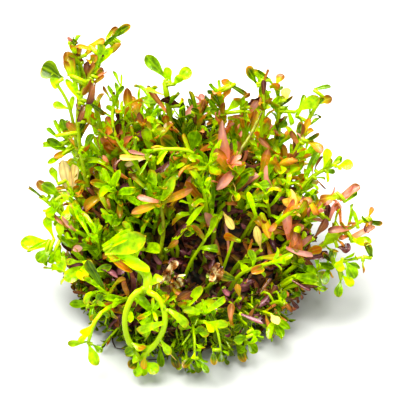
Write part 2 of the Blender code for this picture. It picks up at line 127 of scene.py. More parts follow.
# The stems that lead to single leaves, the turn from one longer shoot to the next, and how far below
# a longer shoot's tip its last pair stands
SIDE_STEM_RADIUS = 0.5 * MM
MOUND_STEM_RADIUS = 0.55 * MM
TURN_BETWEEN_SHOOTS = math.radians(137.5)
PAIR_HALF_HEIGHT = 0.45 * MM
# How often a leaf is missing, aged or curled, and under what length one is made with a plainer net
MISSING_LEAVES = 0.12
AGED_LEAVES = 0.13
CURLED_LEAVES = 0.10
SMALL_LEAF_LENGTH = 4.2 * MM
# How often the underside of a leaf is reddened, by the colours of its shoot
RED_BELOW = {"mixed": 0.25, "olive": 0.3, "copper": 0.5, "coral": 0.5, "orange": 0.3, "lime": 0.04}
OLD_STEMS = ("russet", "hollow", "olive", "orange")
# Names of slots for the colours that aren't those of lime leaves, handed to the meshes, which do not use them
SLOTS = {
    "green": "green_leaf", "emerald": "green_leaf", "olive": "olive_leaf", "pink": "pink_leaf",
    "copper": "pink_leaf", "coral": "pink_leaf", "russet": "red_leaf",
}  # fmt: skip

# Short shoots: under what height they hang over the foot, up to what height and how deep a fringe of
# more of them starts, how near a shoot's foot a pair may be, which share the hollows lack, and the
# habits, numbers of pairs and thickness at foot and tip of the low ones and of the others
LOW_SHOOTS = 12 * MM
FRINGE_TOP = 10 * MM
FRINGE_DEPTH = 2.5 * MM
LOWEST_PAIR = 2 * MM
HOLLOW_DROPS = 0.84
LOW_HABITS = ("paddle", "spoon", "spoon")
LOW_PAIRS = (4, 5, 6)
LOW_RADII = (0.40 * MM, 0.26 * MM)
HIGH_HABITS = {"strap": 8, "clasping": 3.5, "spoon": 0.8, "curled": 2.2}
HIGH_PAIRS = (3, 4, 4)
HIGH_RADII = (0.58 * MM, 0.40 * MM)
PAIR_SIZES = (0.6, 0.9, 1.0, 0.95, 0.85, 0.8)
# The colours of the short shoots outside the patches, and the darker greens that low ones get instead
# of the lighter of these: partly their own colour, partly painted shade near the floor
LIGHT_FAMILIES = {"lime": 6, "green": 0.5, "mixed": 1, "yellow": 4}
LOW_GREENS_AND_SHADE = {"green": 2, "emerald": 8}
# Old growth inside: how deep it lies and which share of it is stems. Loose roots: how many there are,
# and how many millimetres out of the mat's side their points lie
OLD_DEPTH = 3.5 * MM
OLD_STEM_SHARE = 0.22
LOOSE_ROOTS = 26
LOOSE_ROOT_OUT = (0.0, 1.6, 3.6, 4.5)

# The stage: where the lamps are from the middle of the picture, and the width of the camera's sensor
# in millimetres
KEY_PLACE = Vector((-0.13, 0.06, 0.67))
FILL_PLACE = Vector((0.20, -0.30, 0.45))
SENSOR_WIDTH = 36

# The texture's square of a stem: its skin from this far up for this far, with a disc at each end
STRIP_FOOT = 0.08
STRIP_LENGTH = 0.84
DISC_RADIUS = 0.04
TOP_DISC = 0.92

# What leaves may be, in the order of their materials. The material of stems comes after these
STATES = ("fresh", "reddened", "wilted", "dry", "sodden")
STEM = len(STATES)


class Habit(NamedTuple):
    """How a kind of leaf grows, with the least and most where it varies. Angles are in radians.

    Its width is a share of its length, broadest is where along it that is, foot is how wide its foot
    is beside that, and neck is how long it stays narrow. The pitch is how far it points up along its
    stem. Of twist and crumple it has the most.
    """

    width: float
    broadest: float
    bluntness: float
    foot: float
    neck: float
    bends: tuple
    cups: tuple
    twist: float
    pitches: tuple
    crumple: float


class LongerShoot(NamedTuple):
    """A longer shoot, with its lengths in millimetres.

    Pairs is how many main pairs of leaves it has, spacing is how far apart they are, and cover is how
    much of the stem below them has leaves too. The stem runs through the points of the route.
    """

    family: str
    habit: str
    radius: float
    pairs: int
    spacing: float
    leaf: float
    cover: float
    route: tuple


class MarkedLeaf(NamedTuple):
    """A single leaf that stands out, with its foot and its tip as places in the picture.

    Its width is in the picture's units too, and nearer is how many millimetres nearer than its foot
    its tip is.
    """

    tissue: str
    habit: str
    width: float
    foot: tuple
    tip: tuple
    nearer: float


# The longer shoots, by their nodes' names without the word shoot: the values of a LongerShoot in order
SHOOTS = {
    "tall_left": ("olive", "clasping", 0.62, 5, 8.5, 7.5, 0.9,
        ((-22, 5, 18), (-25, 9, 34), (-26, 13, 50), (-22, 17, 61), (-13, 23, 68))),
    "tall_leaf": ("lime", "spoon", 0.55, 1, 7.0, 4.5, 0.0,
        ((-26, 9, 15), (-26.5, 11, 34), (-28, 14, 51), (-32, 17, 59))),
    "tall_bud": ("olive", "clasping", 0.65, 4, 6.5, 6.0, 0.9,
        ((-20, 14, 24), (-21, 17, 44), (-25, 20, 60), (-28, 23, 66))),
    "slender": ("lime", "strap", 0.5, 3, 5.5, 5.0, 0.5,
        ((-6, 1, 20), (-10, 5, 37), (-16, 10, 44), (-17, 14, 51), (-14, 19, 57))),
    "olive_slant": ("olive", "clasping", 0.6, 3, 5.0, 6.0, 0.8,
        ((-6, 15, 27), (-12, 18, 42), (-16, 20, 48), (-21, 22, 52))),
    "left_rear": ("lime", "clasping", 0.6, 3, 5.0, 6.0, 0.5, ((-18, 14, 16), (-28, 19, 32), (-33, 21, 41))),
    "left_fan": ("lime", "clasping", 0.65, 3, 5.0, 6.0, 0.5, ((-22, 6, 14), (-32, 12, 31), (-38, 14, 37))),
    "left_upright": ("mixed", "strap", 0.6, 3, 5.5, 6.0, 0.9, ((-14, 11, 24), (-15, 14, 41), (-15, 16, 48))),
    "left_middle": ("lime", "spoon", 0.6, 3, 5.0, 5.5, 0.5, ((-22, -1, 14), (-32, 3, 25), (-39, 4, 32))),
    "left_low": ("lime", "spoon", 0.6, 3, 5.0, 5.8, 0.6, ((-24, -4, 10), (-33, -6, 18), (-42, -7, 23))),
    "left_drooping": ("lime", "spoon", 0.45, 3, 5.0, 5.2, 0.8,
        ((-22, -8, 10), (-28, -10, 14), (-31, -9, 15))),
    "front_corner": ("green", "spoon", 0.42, 2, 5.0, 4.8, 0.8,
        ((-16, -15, 10), (-25, -22, 14), (-29, -25, 9))),
    "front_left": ("lime", "paddle", 0.6, 3, 6.5, 5.6, 0.15,
        ((-12, -16, 13), (-20, -27, 18), (-23, -30, 11), (-24, -31, 4))),
    "loop_left": ("lime", "paddle", 0.95, 2, 6.5, 5.2, 0.0,
        ((-9, -18, 14), (-9.4, -25.2, 25.1), (-11.7, -27, 24.4), (-13.4, -29.6, 20.3), (-13.2, -31.3, 15.5),
         (-11.6, -32, 10), (-10.3, -32.2, 6.5), (-11.4, -32.4, 3))),
    "loop_right": ("lime", "paddle", 0.92, 2, 6.5, 5.0, 0.0,
        ((-6, -18, 14), (-7.4, -25.5, 24.8), (-5.1, -26.8, 24.2), (-3.5, -29, 21.3), (-3.7, -30.6, 17),
         (-5.8, -31.5, 12), (-8.8, -31.8, 8), (-9.6, -32, 3.5))),
    "front_lime": ("lime", "broad", 0.75, 2, 6.0, 8.5, 0.0,
        ((-11, -15, 12), (-10, -18, 27), (-15, -17, 34))),
    "hollow_left": ("orange", "strap", 0.65, 1, 5.5, 6.0, 0.0,
        ((-6, -9, 8), (-5, -8, 20), (-4, -6, 28), (-5, -3, 36))),
    "hollow_middle": ("green", "strap", 0.55, 1, 5.0, 6.5, 0.0,
        ((0, -10, 8), (3, -10, 19), (6, -9, 25), (9, -7, 30))),
    "hollow_right": ("green", "strap", 0.5, 1, 5.0, 6.0, 0.1, ((10, -8, 8), (13, -9, 22), (15, -7, 29))),
    "hollow_low": ("lime", "strap", 0.6, 1, 5.0, 6.0, 0.3, ((12, -12, 7), (16, -14, 19), (24, -15, 24.5))),
    "arching": ("green", "strap", 0.6, 3, 5.5, 5.5, 0.0,
        ((6, 6, 25), (4.5, 7, 41), (-4, 7, 43.5), (-10, 6, 42.5))),
    "back_trio": ("lime", "paddle", 0.9, 2, 6.5, 8.0, 0.0, ((-1, 21, 26), (-3, 24, 44), (-4, 26, 50))),
    "back_red": ("copper", "clasping", 0.55, 3, 4.5, 5.2, 0.9, ((-8, 12, 26), (-8, 14, 39), (-9, 15, 43.5))),
    "back_middle": ("copper", "clasping", 0.55, 3, 4.5, 6.0, 0.9, ((4, 15, 27), (5, 17, 44), (7, 18, 50))),
    "crest_left": ("olive", "clasping", 0.6, 4, 4.0, 6.5, 0.9, ((11, 19, 28), (11, 23, 46), (8, 25, 52))),
    "crest_middle": ("mixed", "clasping", 0.6, 4, 4.0, 6.5, 0.9, ((17, 19, 27), (17, 23, 46), (13, 25, 53))),
    "crest_right": ("mixed", "clasping", 0.6, 4, 4.5, 6.5, 0.9, ((21, 15, 26), (22, 20, 46), (21, 23, 56))),
    "crest_far": ("lime", "clasping", 0.6, 4, 4.5, 6.5, 0.9, ((25, 15, 22), (26.2, 21, 44), (24.4, 24, 54))),
    "right_reach": ("lime", "spoon", 0.65, 2, 6.0, 5.5, 0.2,
        ((27, 12, 18), (33, 20, 38), (37, 24, 45), (41, 27, 49))),
    "right_upright": ("olive", "clasping", 0.6, 4, 4.0, 6.5, 0.9, ((23, 8, 22), (30, 12, 37), (33, 15, 44))),
    "right_branch": ("lime", "spoon", 0.6, 3, 5.5, 5.5, 0.15,
        ((24, 2, 18), (33, 8, 30), (39, 10, 34), (46, 12, 37))),
    "right_pink": ("pink", "curled", 0.55, 2, 5.0, 6.0, 0.4, ((27, -1, 13), (37, 2, 27), (43, 4, 33))),
    "right_tip": ("copper", "curled", 0.5, 3, 5.5, 5.5, 0.5, ((30, -3, 10), (42, -2, 21), (50, 0, 26))),
    "right_green": ("green", "spoon", 0.45, 3, 5.0, 6.5, 0.7, ((28, -6, 7), (40, -8, 16), (48, -8, 19))),
    "right_droop": ("green", "paddle", 0.42, 2, 4.0, 3.8, 0.5,
        ((25, -9, 7), (34, -12, 13), (36.5, -12.6, 12.6))),
    "right_low": ("lime", "spoon", 0.42, 2, 5.0, 3.4, 0.9, ((21, -13, 7), (25, -14, 12), (26, -15, 12))),
    "right_brown": ("russet", "spoon", 0.42, 2, 4.5, 5.0, 0.9, ((18, -16, 8), (24, -21, 11), (25, -22, 9))),
    "coral": ("coral", "curled", 0.6, 3, 5.0, 7.5, 0.9, ((21, -2, 14), (25, -4, 27), (30, -5, 34))),
    "front_right": ("emerald", "paddle", 0.4, 3, 4.5, 4.6, 0.8, ((13, -18, 8), (19, -29, 14), (20, -32, 7))),
    "front_middle": ("emerald", "paddle", 0.4, 3, 4.5, 4.6, 0.8, ((8, -19, 8), (10, -30, 14), (11, -33, 7))),
    "front_low": ("green", "paddle", 0.4, 2, 4.5, 4.4, 0.7, ((3, -19, 9), (4, -30, 12), (4, -33, 6))),
    "middle_pink": ("pink", "strap", 0.6, 2, 7.0, 8.5, 0.3, ((13, 1, 20), (13, 2, 36), (12, 4, 44))),
    "middle_lime": ("lime", "strap", 0.55, 3, 4.5, 5.5, 0.8, ((7, -1, 18), (7, -3, 33), (6, -3, 40))),
    "rear_left": ("green", "spoon", 0.55, 3, 5.0, 6.0, 0.9, ((-18, 16, 9), (-28, 26, 20), (-31, 30, 27))),
    "rear_middle": ("lime", "strap", 0.55, 3, 5.0, 6.0, 0.9, ((-5, 20, 13), (-7, 33, 25), (-8, 37, 33))),
    "rear_drooping": ("green", "spoon", 0.5, 3, 4.5, 5.5, 0.9, ((4, 20, 13), (6, 33, 16), (7, 36, 8))),
    "rear_right": ("mixed", "strap", 0.55, 3, 5.0, 6.0, 0.9, ((13, 19, 16), (18, 31, 28), (21, 34, 35))),
}  # fmt: skip

# Bare stems and thread roots that stand out: what each is, its age, its radius and the points that it
# runs through, in millimetres
MARKED_STEMS = (
    ("stem", 0.0, 0.8, ((-9.5, -25.2, 25.0), (-8.4, -24.8, 25.5), (-7.3, -25.4, 24.8))),
    ("stem", 0.0, 1.3,
        ((-8.6, -25.6, 24.4), (-7.6, -23.5, 26.5), (-8.6, -21.0, 27.6), (-12.2, -18.5, 28.2),
         (-16.5, -15.5, 29))),
    ("stem", 0.9, 0.5, ((14.5, -1, 30), (15.1, 7, 40), (18.4, 12.5, 43), (21.6, 17.5, 47))),
    ("dry", 1.0, 0.14, ((13.1, 2.2, 38), (14.6, 0.2, 35.6), (13.5, -1.1, 33.9), (15.1, -2.5, 32.2))),
    ("dry", 1.0, 0.12, ((-5.6, -31.3, 12.4), (-3.5, -31.6, 10), (-0.6, -31.6, 5.2))),
)  # fmt: skip

HABITS = {
    "strap": Habit(0.38, 0.78, 2.3, 0.45, 1.0, (-1.0, 1.8), (0.5, 1.9), 1.0, (0.35, 1.2), 0.3),
    "spoon": Habit(0.5, 0.74, 2.1, 0.22, 1.7, (-0.4, 1.2), (0.2, 1.1), 0.5, (0.2, 1.0), 0.14),
    "paddle": Habit(0.62, 0.68, 2.1, 0.18, 1.6, (-0.3, 0.8), (0.2, 0.8), 0.3, (0.2, 0.8), 0.09),
    "broad": Habit(0.5, 0.66, 2.1, 0.45, 1.0, (-0.2, 0.5), (0.9, 1.4), 0.15, (0.3, 0.8), 0.1),
    "clasping": Habit(0.45, 0.72, 2.2, 0.55, 1.0, (-0.8, 1.0), (0.9, 2.1), 0.7, (0.6, 1.35), 0.26),
    "curled": Habit(0.42, 0.72, 2.2, 0.4, 1.0, (-2.0, 2.4), (0.6, 2.0), 1.4, (0.2, 1.2), 0.35),
    "crumpled": Habit(0.8, 0.55, 2.2, 0.6, 1.0, (-2.0, 2.2), (0.4, 1.6), 1.2, (0.2, 1.2), 0.75),
    "pointed": Habit(0.36, 0.42, 1.15, 0.45, 1.0, (-0.5, 0.6), (0.8, 1.6), 0.5, (0.3, 0.9), 0.35),
    "rolled": Habit(0.9, 0.5, 2.0, 0.6, 1.0, (2.2, 2.6), (1.6, 2.0), 0.2, (0.3, 0.8), 0.1),
}  # fmt: skip

# What the leaves of each colour are: a share, the state of the leaf, the lowest and highest place
# in that state's row of colours, and how far a blush may run in from the tip
FAMILIES = {
    "lime": ((9, "fresh", 0.5, 1.0, 0.3), (1.5, "fresh", 0.2, 0.5, 0.5), (0.8, "reddened", 0.0, 0.3, 0.3)),
    "yellow": ((8, "fresh", 0.75, 1.0, 0.4), (1.5, "reddened", 0.0, 0.35, 0.3)),
    "green": ((6, "fresh", 0.2, 0.65, 0.2), (3, "fresh", 0.6, 0.95, 0.3), (1, "reddened", 0.0, 0.3, 0.3)),
    "emerald": ((8, "fresh", -0.6, 0.25, 0.1), (2, "fresh", 0.3, 0.6, 0.2)),
    "olive": ((5, "reddened", 0.0, 0.4, 0.5), (8, "fresh", 0.45, 1.0, 0.9), (0.5, "wilted", 0.0, 0.4, 0.3)),
    "orange": ((6, "reddened", 0.1, 0.5, 0.4), (5, "fresh", 0.6, 1.0, 0.8), (0.6, "reddened", 0.6, 0.8, 0.3)),
    "copper": ((5, "reddened", 0.1, 0.6, 0.5), (0.8, "wilted", 0.2, 0.6, 0.5), (8, "fresh", 0.5, 1.0, 0.9)),
    "pink": ((7, "reddened", 0.55, 1.0, 0.2), (3, "reddened", 0.15, 0.5, 0.5)),
    "coral": ((6, "reddened", 0.3, 0.75, 0.6), (1.5, "wilted", 0.3, 0.55, 0.5), (3, "fresh", 0.6, 1.0, 0.8)),
    "russet": ((4, "wilted", 0.1, 0.6, 0.5), (4, "reddened", 0.1, 0.6, 0.5), (4, "fresh", 0.1, 0.7, 0.8)),
    "hollow": ((6, "wilted", 0.2, 1.0, 0.3), (3, "fresh", 0.1, 0.7, 0.5), (1.5, "reddened", 0.5, 1.0, 0.3)),
    "mixed": ((7, "fresh", 0.65, 1.0, 0.7), (2.5, "reddened", 0.0, 0.5, 0.5), (0.3, "wilted", 0.1, 0.5, 0.4)),
}

# Where the short shoots have other colours than lime: the family, how far right and how far up the
# slope (back plus up) it lies, how wide and how tall it is, all in millimetres. The emerald patch
# low at the front is dark partly as painted shade near the floor
PATCHES = (
    ("hollow", 8, 6, 21, 14), ("russet", -19, 0, 13, 6), ("yellow", -24, 30, 10, 15),
    ("lime", -12, 25, 8, 9), ("coral", 32, 15, 6, 8), ("pink", 12, 52, 4, 6), ("pink", 12, 40, 4, 5),
    ("orange", 3, 46, 4, 4), ("emerald", 1, 55, 7, 5), ("copper", -6, 71, 4, 5), ("olive", 5, 67, 9, 5),
    ("orange", -14, 63, 5, 5), ("yellow", 22, 45, 8, 7), ("mixed", -15, 66, 6, 9), ("mixed", 17, 70, 12, 7),
    ("mixed", 31, 55, 7, 8), ("coral", -16, 41, 4, 4), ("mixed", -22, 58, 9, 14), ("russet", 30, -6, 10, 6),
    ("copper", 42, 26, 8, 10), ("green", -24, 20, 8, 6), ("emerald", 10, -24, 22, 5),
    ("yellow", 20, 31, 12, 8),
)  # fmt: skip
# The dark hollows: the middle and the half size of each, on the same slope
HOLLOWS = (((8, 6), (20, 14)), ((19, -6), (12, 8)), ((-18, 2), (12, 5)))

# What single leaves are made of: the state, its place in that state's row of colours and the blush
# at the tip. Lit, the palest yellow lime, is partly painted light on leaves that catch the lamp, and
# deep, the darkest fresh green, is partly painted shade on the one leaf that has it
TISSUES = {
    "lit": ("fresh", 1.0, 0.0), "lime": ("fresh", 0.75, 0.1), "green": ("fresh", 0.42, 0.0),
    "dark": ("fresh", 0.08, 0.3), "tipped": ("fresh", 0.75, 0.9), "olive": ("reddened", 0.1, 0.5),
    "gold": ("reddened", 0.25, 0.2), "orange": ("reddened", 0.36, 0.3), "coral": ("reddened", 0.62, 0.5),
    "pink": ("reddened", 0.85, 0.3), "mauve": ("reddened", 1.1, 0.0), "brown": ("wilted", 0.35, 0.3),
    "maroon": ("wilted", 0.7, 0.2), "plum": ("wilted", 1.0, 0.0), "deep": ("fresh", -0.9, 0.0),
    "clear": ("sodden", 0.5, 0.0), "straw": ("dry", 0.0, 0.0), "cream": ("dry", 1.0, 0.0),
}  # fmt: skip

# Single leaves that stand out, by the longer shoot that carries them, or the mound. Each has its
# tissue, its habit, its width, where its foot and then its tip are in a picture of 400 by 400 from
# the front, and how much nearer its tip is
MARKED_LEAVES = {
    "tall_left": (
        ("lime", "clasping", 8, 80, 98, 66, 80, 1), ("olive", "broad", 12, 73, 79, 67, 53, 1),
        ("olive", "clasping", 9, 70, 75, 63, 61, 2), ("lime", "clasping", 8, 77, 92, 72, 62, 2),
        ("green", "clasping", 9, 83, 94, 78, 62, 2), ("brown", "clasping", 8, 86, 78, 86, 60, 2),
        ("gold", "strap", 5, 94, 50, 77, 45, 2), ("gold", "strap", 6, 90, 46, 105, 40, 2),
        ("brown", "strap", 4, 91, 46, 102, 55, 2), ("orange", "rolled", 12, 93, 65, 88, 56, 1),
        ("gold", "broad", 10, 91, 62, 98, 56, 2), ("coral", "rolled", 12, 98, 78, 103, 69, 1),
        ("gold", "clasping", 8, 94, 84, 104, 76, 2), ("lime", "clasping", 8, 88, 84, 98, 65, 2),
        ("lime", "broad", 10, 98, 66, 113, 49, 2), ("green", "clasping", 9, 101, 50, 115, 36, 2),
        ("olive", "clasping", 7, 107, 38, 115, 28, 2), ("dark", "broad", 10, 113, 37, 129, 26, 2),
        ("green", "clasping", 7, 112, 40, 124, 28, 2), ("brown", "clasping", 10, 93, 80, 89, 103, 2),
        ("dark", "strap", 6, 88, 102, 105, 113, 2), ("plum", "curled", 6, 82, 112, 77, 106, 2),
        ("brown", "clasping", 8, 84, 104, 79, 120, 2), ("lit", "clasping", 9, 86, 122, 92, 100, 2),
        ("lime", "broad", 11, 89, 176, 80, 160, 3), ("green", "clasping", 10, 87, 170, 96, 157, 3),
        ("olive", "broad", 10, 91, 200, 98, 184, 3), ("lime", "broad", 11, 92, 212, 82, 200, 3),
        ("lit", "clasping", 10, 88, 158, 80, 146, 3), ("green", "broad", 10, 86, 148, 93, 135, 3),
        ("lit", "strap", 9, 94, 222, 104, 206, 3), ("dark", "clasping", 9, 80, 134, 87, 118, 2),
        ("green", "broad", 9, 66, 134, 61, 119, 2), ("orange", "broad", 8, 76, 131, 67, 123, 2),
        ("green", "clasping", 7, 56, 136, 47, 129, 1), ("gold", "clasping", 9, 84, 186, 80, 199, 4),
    ),
    "tall_leaf": (
        ("deep", "paddle", 18, 63, 79, 43, 66, 1), ("lime", "paddle", 14, 63, 79, 51, 82, 0),
        ("lime", "spoon", 8, 69, 111, 54, 104, 1), ("lit", "clasping", 5, 73, 112, 73, 97, 1),
    ),
    "tall_bud": (
        ("brown", "broad", 9, 83, 62, 74, 55, 2), ("orange", "broad", 9, 86, 55, 94, 46, 2),
        ("lime", "clasping", 9, 96, 134, 90, 112, 2), ("lime", "broad", 8, 100, 138, 103, 122, 2),
        ("green", "curled", 7, 75, 46, 70, 37, 1), ("green", "curled", 8, 75, 45, 78, 36, 2),
        ("mauve", "curled", 5, 73, 42, 68, 37, 2), ("dark", "curled", 5, 75, 44, 80, 41, 2),
    ),
    "slender": (
        ("lime", "clasping", 4, 119, 87, 112, 72, 1), ("lime", "clasping", 3, 119, 86, 122, 75, 1),
        ("lime", "strap", 5, 115, 99, 109, 86, 2), ("olive", "curled", 5, 110, 99, 105, 87, 2),
        ("green", "clasping", 5, 116, 98, 122, 87, 2), ("brown", "curled", 4, 113, 96, 117, 88, 2),
    ),
    "olive_slant": (
        ("olive", "broad", 10, 131, 116, 127, 89, 3), ("gold", "strap", 8, 141, 122, 132, 97, 3),
        ("lime", "strap", 7, 120, 114, 106, 104, 3), ("brown", "clasping", 8, 127, 126, 115, 115, 4),
    ),
    "left_rear": (
        ("lime", "clasping", 8, 62, 146, 43, 143, 1), ("green", "broad", 12, 66, 150, 48, 140, 2),
        ("gold", "broad", 8, 68, 152, 55, 157, 2), ("lime", "broad", 7, 60, 157, 48, 163, 2),
        ("lime", "clasping", 8, 62, 136, 54, 121, 1), ("green", "clasping", 8, 66, 142, 66, 122, 2),
    ),
    "left_fan": (
        ("straw", "broad", 14, 71, 195, 63, 161, 3), ("straw", "broad", 11, 72, 195, 76, 163, 3),
        ("lime", "spoon", 9, 58, 184, 53, 167, 1),
    ),
    "left_middle": (
        ("dark", "strap", 5, 45, 198, 27, 184, 1), ("green", "paddle", 12, 61, 196, 45, 186, 4),
        ("olive", "paddle", 9, 50, 196, 39, 182, 2), ("lime", "paddle", 10, 60, 204, 48, 214, 3),
        ("green", "paddle", 9, 54, 198, 54, 210, 4),
    ),
    "left_low": (
        ("lime", "spoon", 9, 54, 239, 45, 218, 1), ("lime", "broad", 16, 48, 244, 22, 243, 1),
        ("green", "paddle", 12, 52, 247, 38, 260, 2), ("lime", "paddle", 9, 60, 246, 56, 262, 3),
        ("lime", "paddle", 10, 64, 252, 60, 271, 2), ("green", "paddle", 8, 58, 252, 49, 262, 2),
        ("lit", "paddle", 9, 60, 240, 60, 224, 2), ("lime", "clasping", 8, 50, 240, 28, 250, 2),
    ),
    "front_corner": (
        ("green", "broad", 9, 88, 304, 70, 304, 2), ("green", "broad", 9, 92, 306, 92, 321, 3),
        ("green", "spoon", 8, 94, 304, 100, 296, 3),
    ),
    "front_left": (
        ("lime", "spoon", 7, 89, 341, 69, 344, 1), ("lime", "paddle", 12, 91, 344, 97, 364, 1),
        ("green", "spoon", 6, 92, 344, 101, 351, 2),
    ),
    "loop_left": (
        ("green", "paddle", 10, 138, 345, 127, 353, 2), ("dark", "paddle", 10, 138, 358, 130, 367, 2),
    ),
    "loop_right": (
        ("lime", "spoon", 9, 150, 286, 160, 276, 1), ("lime", "paddle", 10, 142, 361, 143, 375, 1),
        ("lime", "paddle", 11, 142, 361, 157, 371, 2), ("lime", "spoon", 8, 157, 336, 169, 354, 1),
        ("lime", "strap", 9, 168, 310, 188, 323, 2), ("lime", "strap", 8, 164, 322, 140, 328, 4),
    ),
    "front_lime": (
        ("lime", "broad", 22, 104, 250, 144, 238, 2), ("lit", "clasping", 12, 104, 248, 128, 232, 3),
        ("tipped", "strap", 12, 108, 252, 127, 274, 2), ("lit", "strap", 13, 116, 254, 146, 270, 3),
    ),
    "hollow_left": (
        ("lime", "broad", 10, 161, 208, 173, 179, 4), ("gold", "broad", 9, 160, 203, 134, 212, 4),
        ("orange", "broad", 9, 163, 203, 191, 189, 4), ("pink", "strap", 6, 160, 202, 144, 201, 5),
    ),
    "hollow_middle": (
        ("tipped", "strap", 9, 207, 241, 194, 228, 4), ("lime", "strap", 9, 207, 240, 222, 217, 2),
        ("green", "strap", 8, 200, 247, 214, 250, 4),
    ),
    "hollow_right": (
        ("pink", "strap", 6, 230, 258, 232, 226, 3), ("orange", "strap", 5, 222, 268, 216, 240, 3),
        ("tipped", "strap", 8, 240, 241, 217, 232, 4),
    ),
    "arching": (
        ("cream", "strap", 8, 147, 158, 121, 157, 2), ("mauve", "strap", 5, 148, 156, 128, 152, 2),
        ("lit", "clasping", 6, 168, 152, 156, 166, 2), ("lime", "clasping", 6, 148, 160, 140, 174, 2),
    ),
    "back_trio": (
        ("green", "paddle", 13, 167, 79, 147, 57, 2), ("lime", "paddle", 12, 175, 84, 189, 69, 1),
        ("lime", "paddle", 9, 171, 82, 166, 69, 3), ("lime", "spoon", 8, 173, 84, 180, 79, 4),
        ("coral", "strap", 8, 168, 118, 149, 87, 3), ("maroon", "strap", 8, 180, 106, 157, 93, 4),
    ),
    "back_middle": (("coral", "strap", 6, 192, 112, 210, 104, 2),),
    "crest_left": (
        ("lime", "spoon", 8, 226, 112, 238, 101, 2), ("green", "spoon", 8, 218, 112, 209, 100, 2),
        ("green", "clasping", 7, 222, 93, 208, 85, 1), ("gold", "spoon", 8, 235, 84, 221, 81, 1),
        ("dark", "clasping", 7, 229, 85, 247, 94, 1), ("dark", "clasping", 8, 221, 106, 213, 94, 2),
        ("green", "strap", 6, 221, 92, 208, 91, 1),
    ),
    "crest_middle": (
        ("olive", "strap", 7, 240, 100, 250, 92, 2), ("maroon", "strap", 7, 246, 106, 264, 97, 3),
        ("pink", "strap", 7, 250, 112, 256, 103, 4), ("brown", "broad", 9, 266, 108, 252, 101, 2),
        ("green", "broad", 10, 226, 113, 211, 111, 2), ("coral", "strap", 7, 228, 118, 244, 115, 3),
        ("lime", "spoon", 7, 240, 108, 243, 98, 2), ("olive", "clasping", 10, 248, 144, 262, 110, 3),
        ("lime", "clasping", 9, 244, 146, 247, 114, 3),
    ),
    "crest_right": (
        ("dark", "paddle", 12, 257, 84, 246, 68, 2), ("lime", "spoon", 9, 257, 86, 264, 73, 1),
        ("green", "clasping", 5, 270, 80, 257, 69, 1),
    ),
    "crest_far": (
        ("olive", "paddle", 9, 273, 86, 281, 74, 1), ("gold", "paddle", 8, 270, 87, 278, 85, 4),
        ("lime", "broad", 10, 271, 104, 260, 87, 3), ("lime", "broad", 8, 271, 104, 280, 96, 2),
        ("cream", "paddle", 10, 288, 100, 285, 89, 1), ("dark", "strap", 4, 277, 108, 292, 96, 2),
        ("lime", "paddle", 12, 295, 112, 318, 98, 2), ("lime", "strap", 6, 286, 108, 295, 127, 1),
        ("green", "paddle", 10, 278, 131, 285, 121, 2), ("coral", "curled", 8, 277, 138, 278, 124, 3),
        ("lit", "strap", 7, 283, 136, 258, 128, 3),
    ),
    "right_reach": (
        ("olive", "paddle", 9, 318, 101, 331, 98, 2), ("green", "clasping", 7, 314, 90, 330, 87, 1),
        ("lime", "clasping", 9, 296, 116, 306, 96, 1),
    ),
    "right_upright": (
        ("coral", "clasping", 7, 296, 143, 291, 129, 2), ("dark", "curled", 9, 300, 142, 299, 122, 2),
        ("orange", "broad", 11, 309, 142, 321, 151, 3), ("mauve", "strap", 6, 304, 144, 300, 129, 2),
        ("gold", "clasping", 9, 304, 134, 309, 119, 2), ("dark", "clasping", 7, 306, 142, 318, 134, 2),
    ),
    "right_branch": (
        ("green", "clasping", 9, 306, 178, 316, 152, 3), ("brown", "strap", 4, 315, 170, 318, 158, 3),
        ("lit", "spoon", 9, 325, 172, 329, 150, 1), ("lime", "paddle", 11, 336, 167, 352, 164, 1),
        ("green", "clasping", 5, 341, 164, 343, 155, 2), ("lime", "clasping", 5, 327, 172, 328, 180, 3),
        ("brown", "strap", 2, 316, 179, 324, 187, 3),
    ),
    "right_pink": (
        ("pink", "clasping", 12, 339, 199, 359, 187, 1), ("mauve", "strap", 5, 339, 199, 356, 190, 3),
        ("olive", "strap", 8, 340, 197, 321, 198, 2), ("maroon", "clasping", 8, 326, 221, 329, 201, 4),
        ("mauve", "clasping", 6, 330, 220, 333, 205, 5), ("green", "strap", 7, 345, 202, 358, 191, 1),
        ("lime", "strap", 6, 304, 220, 323, 213, 4),
    ),
    "right_tip": (
        ("coral", "curled", 9, 341, 223, 339, 198, 4), ("lit", "strap", 5, 335, 222, 336, 203, 4),
        ("lime", "curled", 8, 348, 226, 352, 205, 3), ("lime", "curled", 7, 358, 228, 354, 212, 3),
        ("pink", "clasping", 13, 352, 229, 331, 231, 2), ("coral", "clasping", 8, 348, 236, 336, 240, 4),
        ("pink", "clasping", 9, 351, 238, 376, 228, 3), ("orange", "spoon", 6, 370, 218, 373, 208, 1),
        ("dark", "clasping", 7, 369, 222, 382, 223, 1), ("brown", "clasping", 9, 371, 220, 367, 231, 2),
        ("green", "clasping", 5, 368, 222, 363, 218, 2), ("lime", "paddle", 10, 352, 242, 368, 240, 4),
        ("maroon", "paddle", 11, 337, 247, 350, 249, 1), ("lime", "paddle", 11, 348, 236, 366, 243, 2),
        ("lit", "paddle", 12, 322, 246, 336, 234, 4),
    ),
    "right_green": (
        ("dark", "broad", 10, 371, 258, 367, 244, 2), ("olive", "clasping", 4, 363, 261, 361, 274, 2),
        ("green", "paddle", 12, 346, 260, 354, 277, 2), ("lime", "paddle", 10, 342, 258, 338, 271, 3),
        ("dark", "strap", 8, 334, 262, 320, 252, 4), ("green", "paddle", 9, 341, 279, 338, 295, 2),
        ("lime", "paddle", 9, 342, 275, 351, 284, 3), ("green", "paddle", 8, 330, 268, 324, 282, 3),
        ("lime", "paddle", 9, 338, 270, 330, 258, 4), ("green", "clasping", 9, 320, 264, 332, 268, 4),
    ),
    "right_brown": (
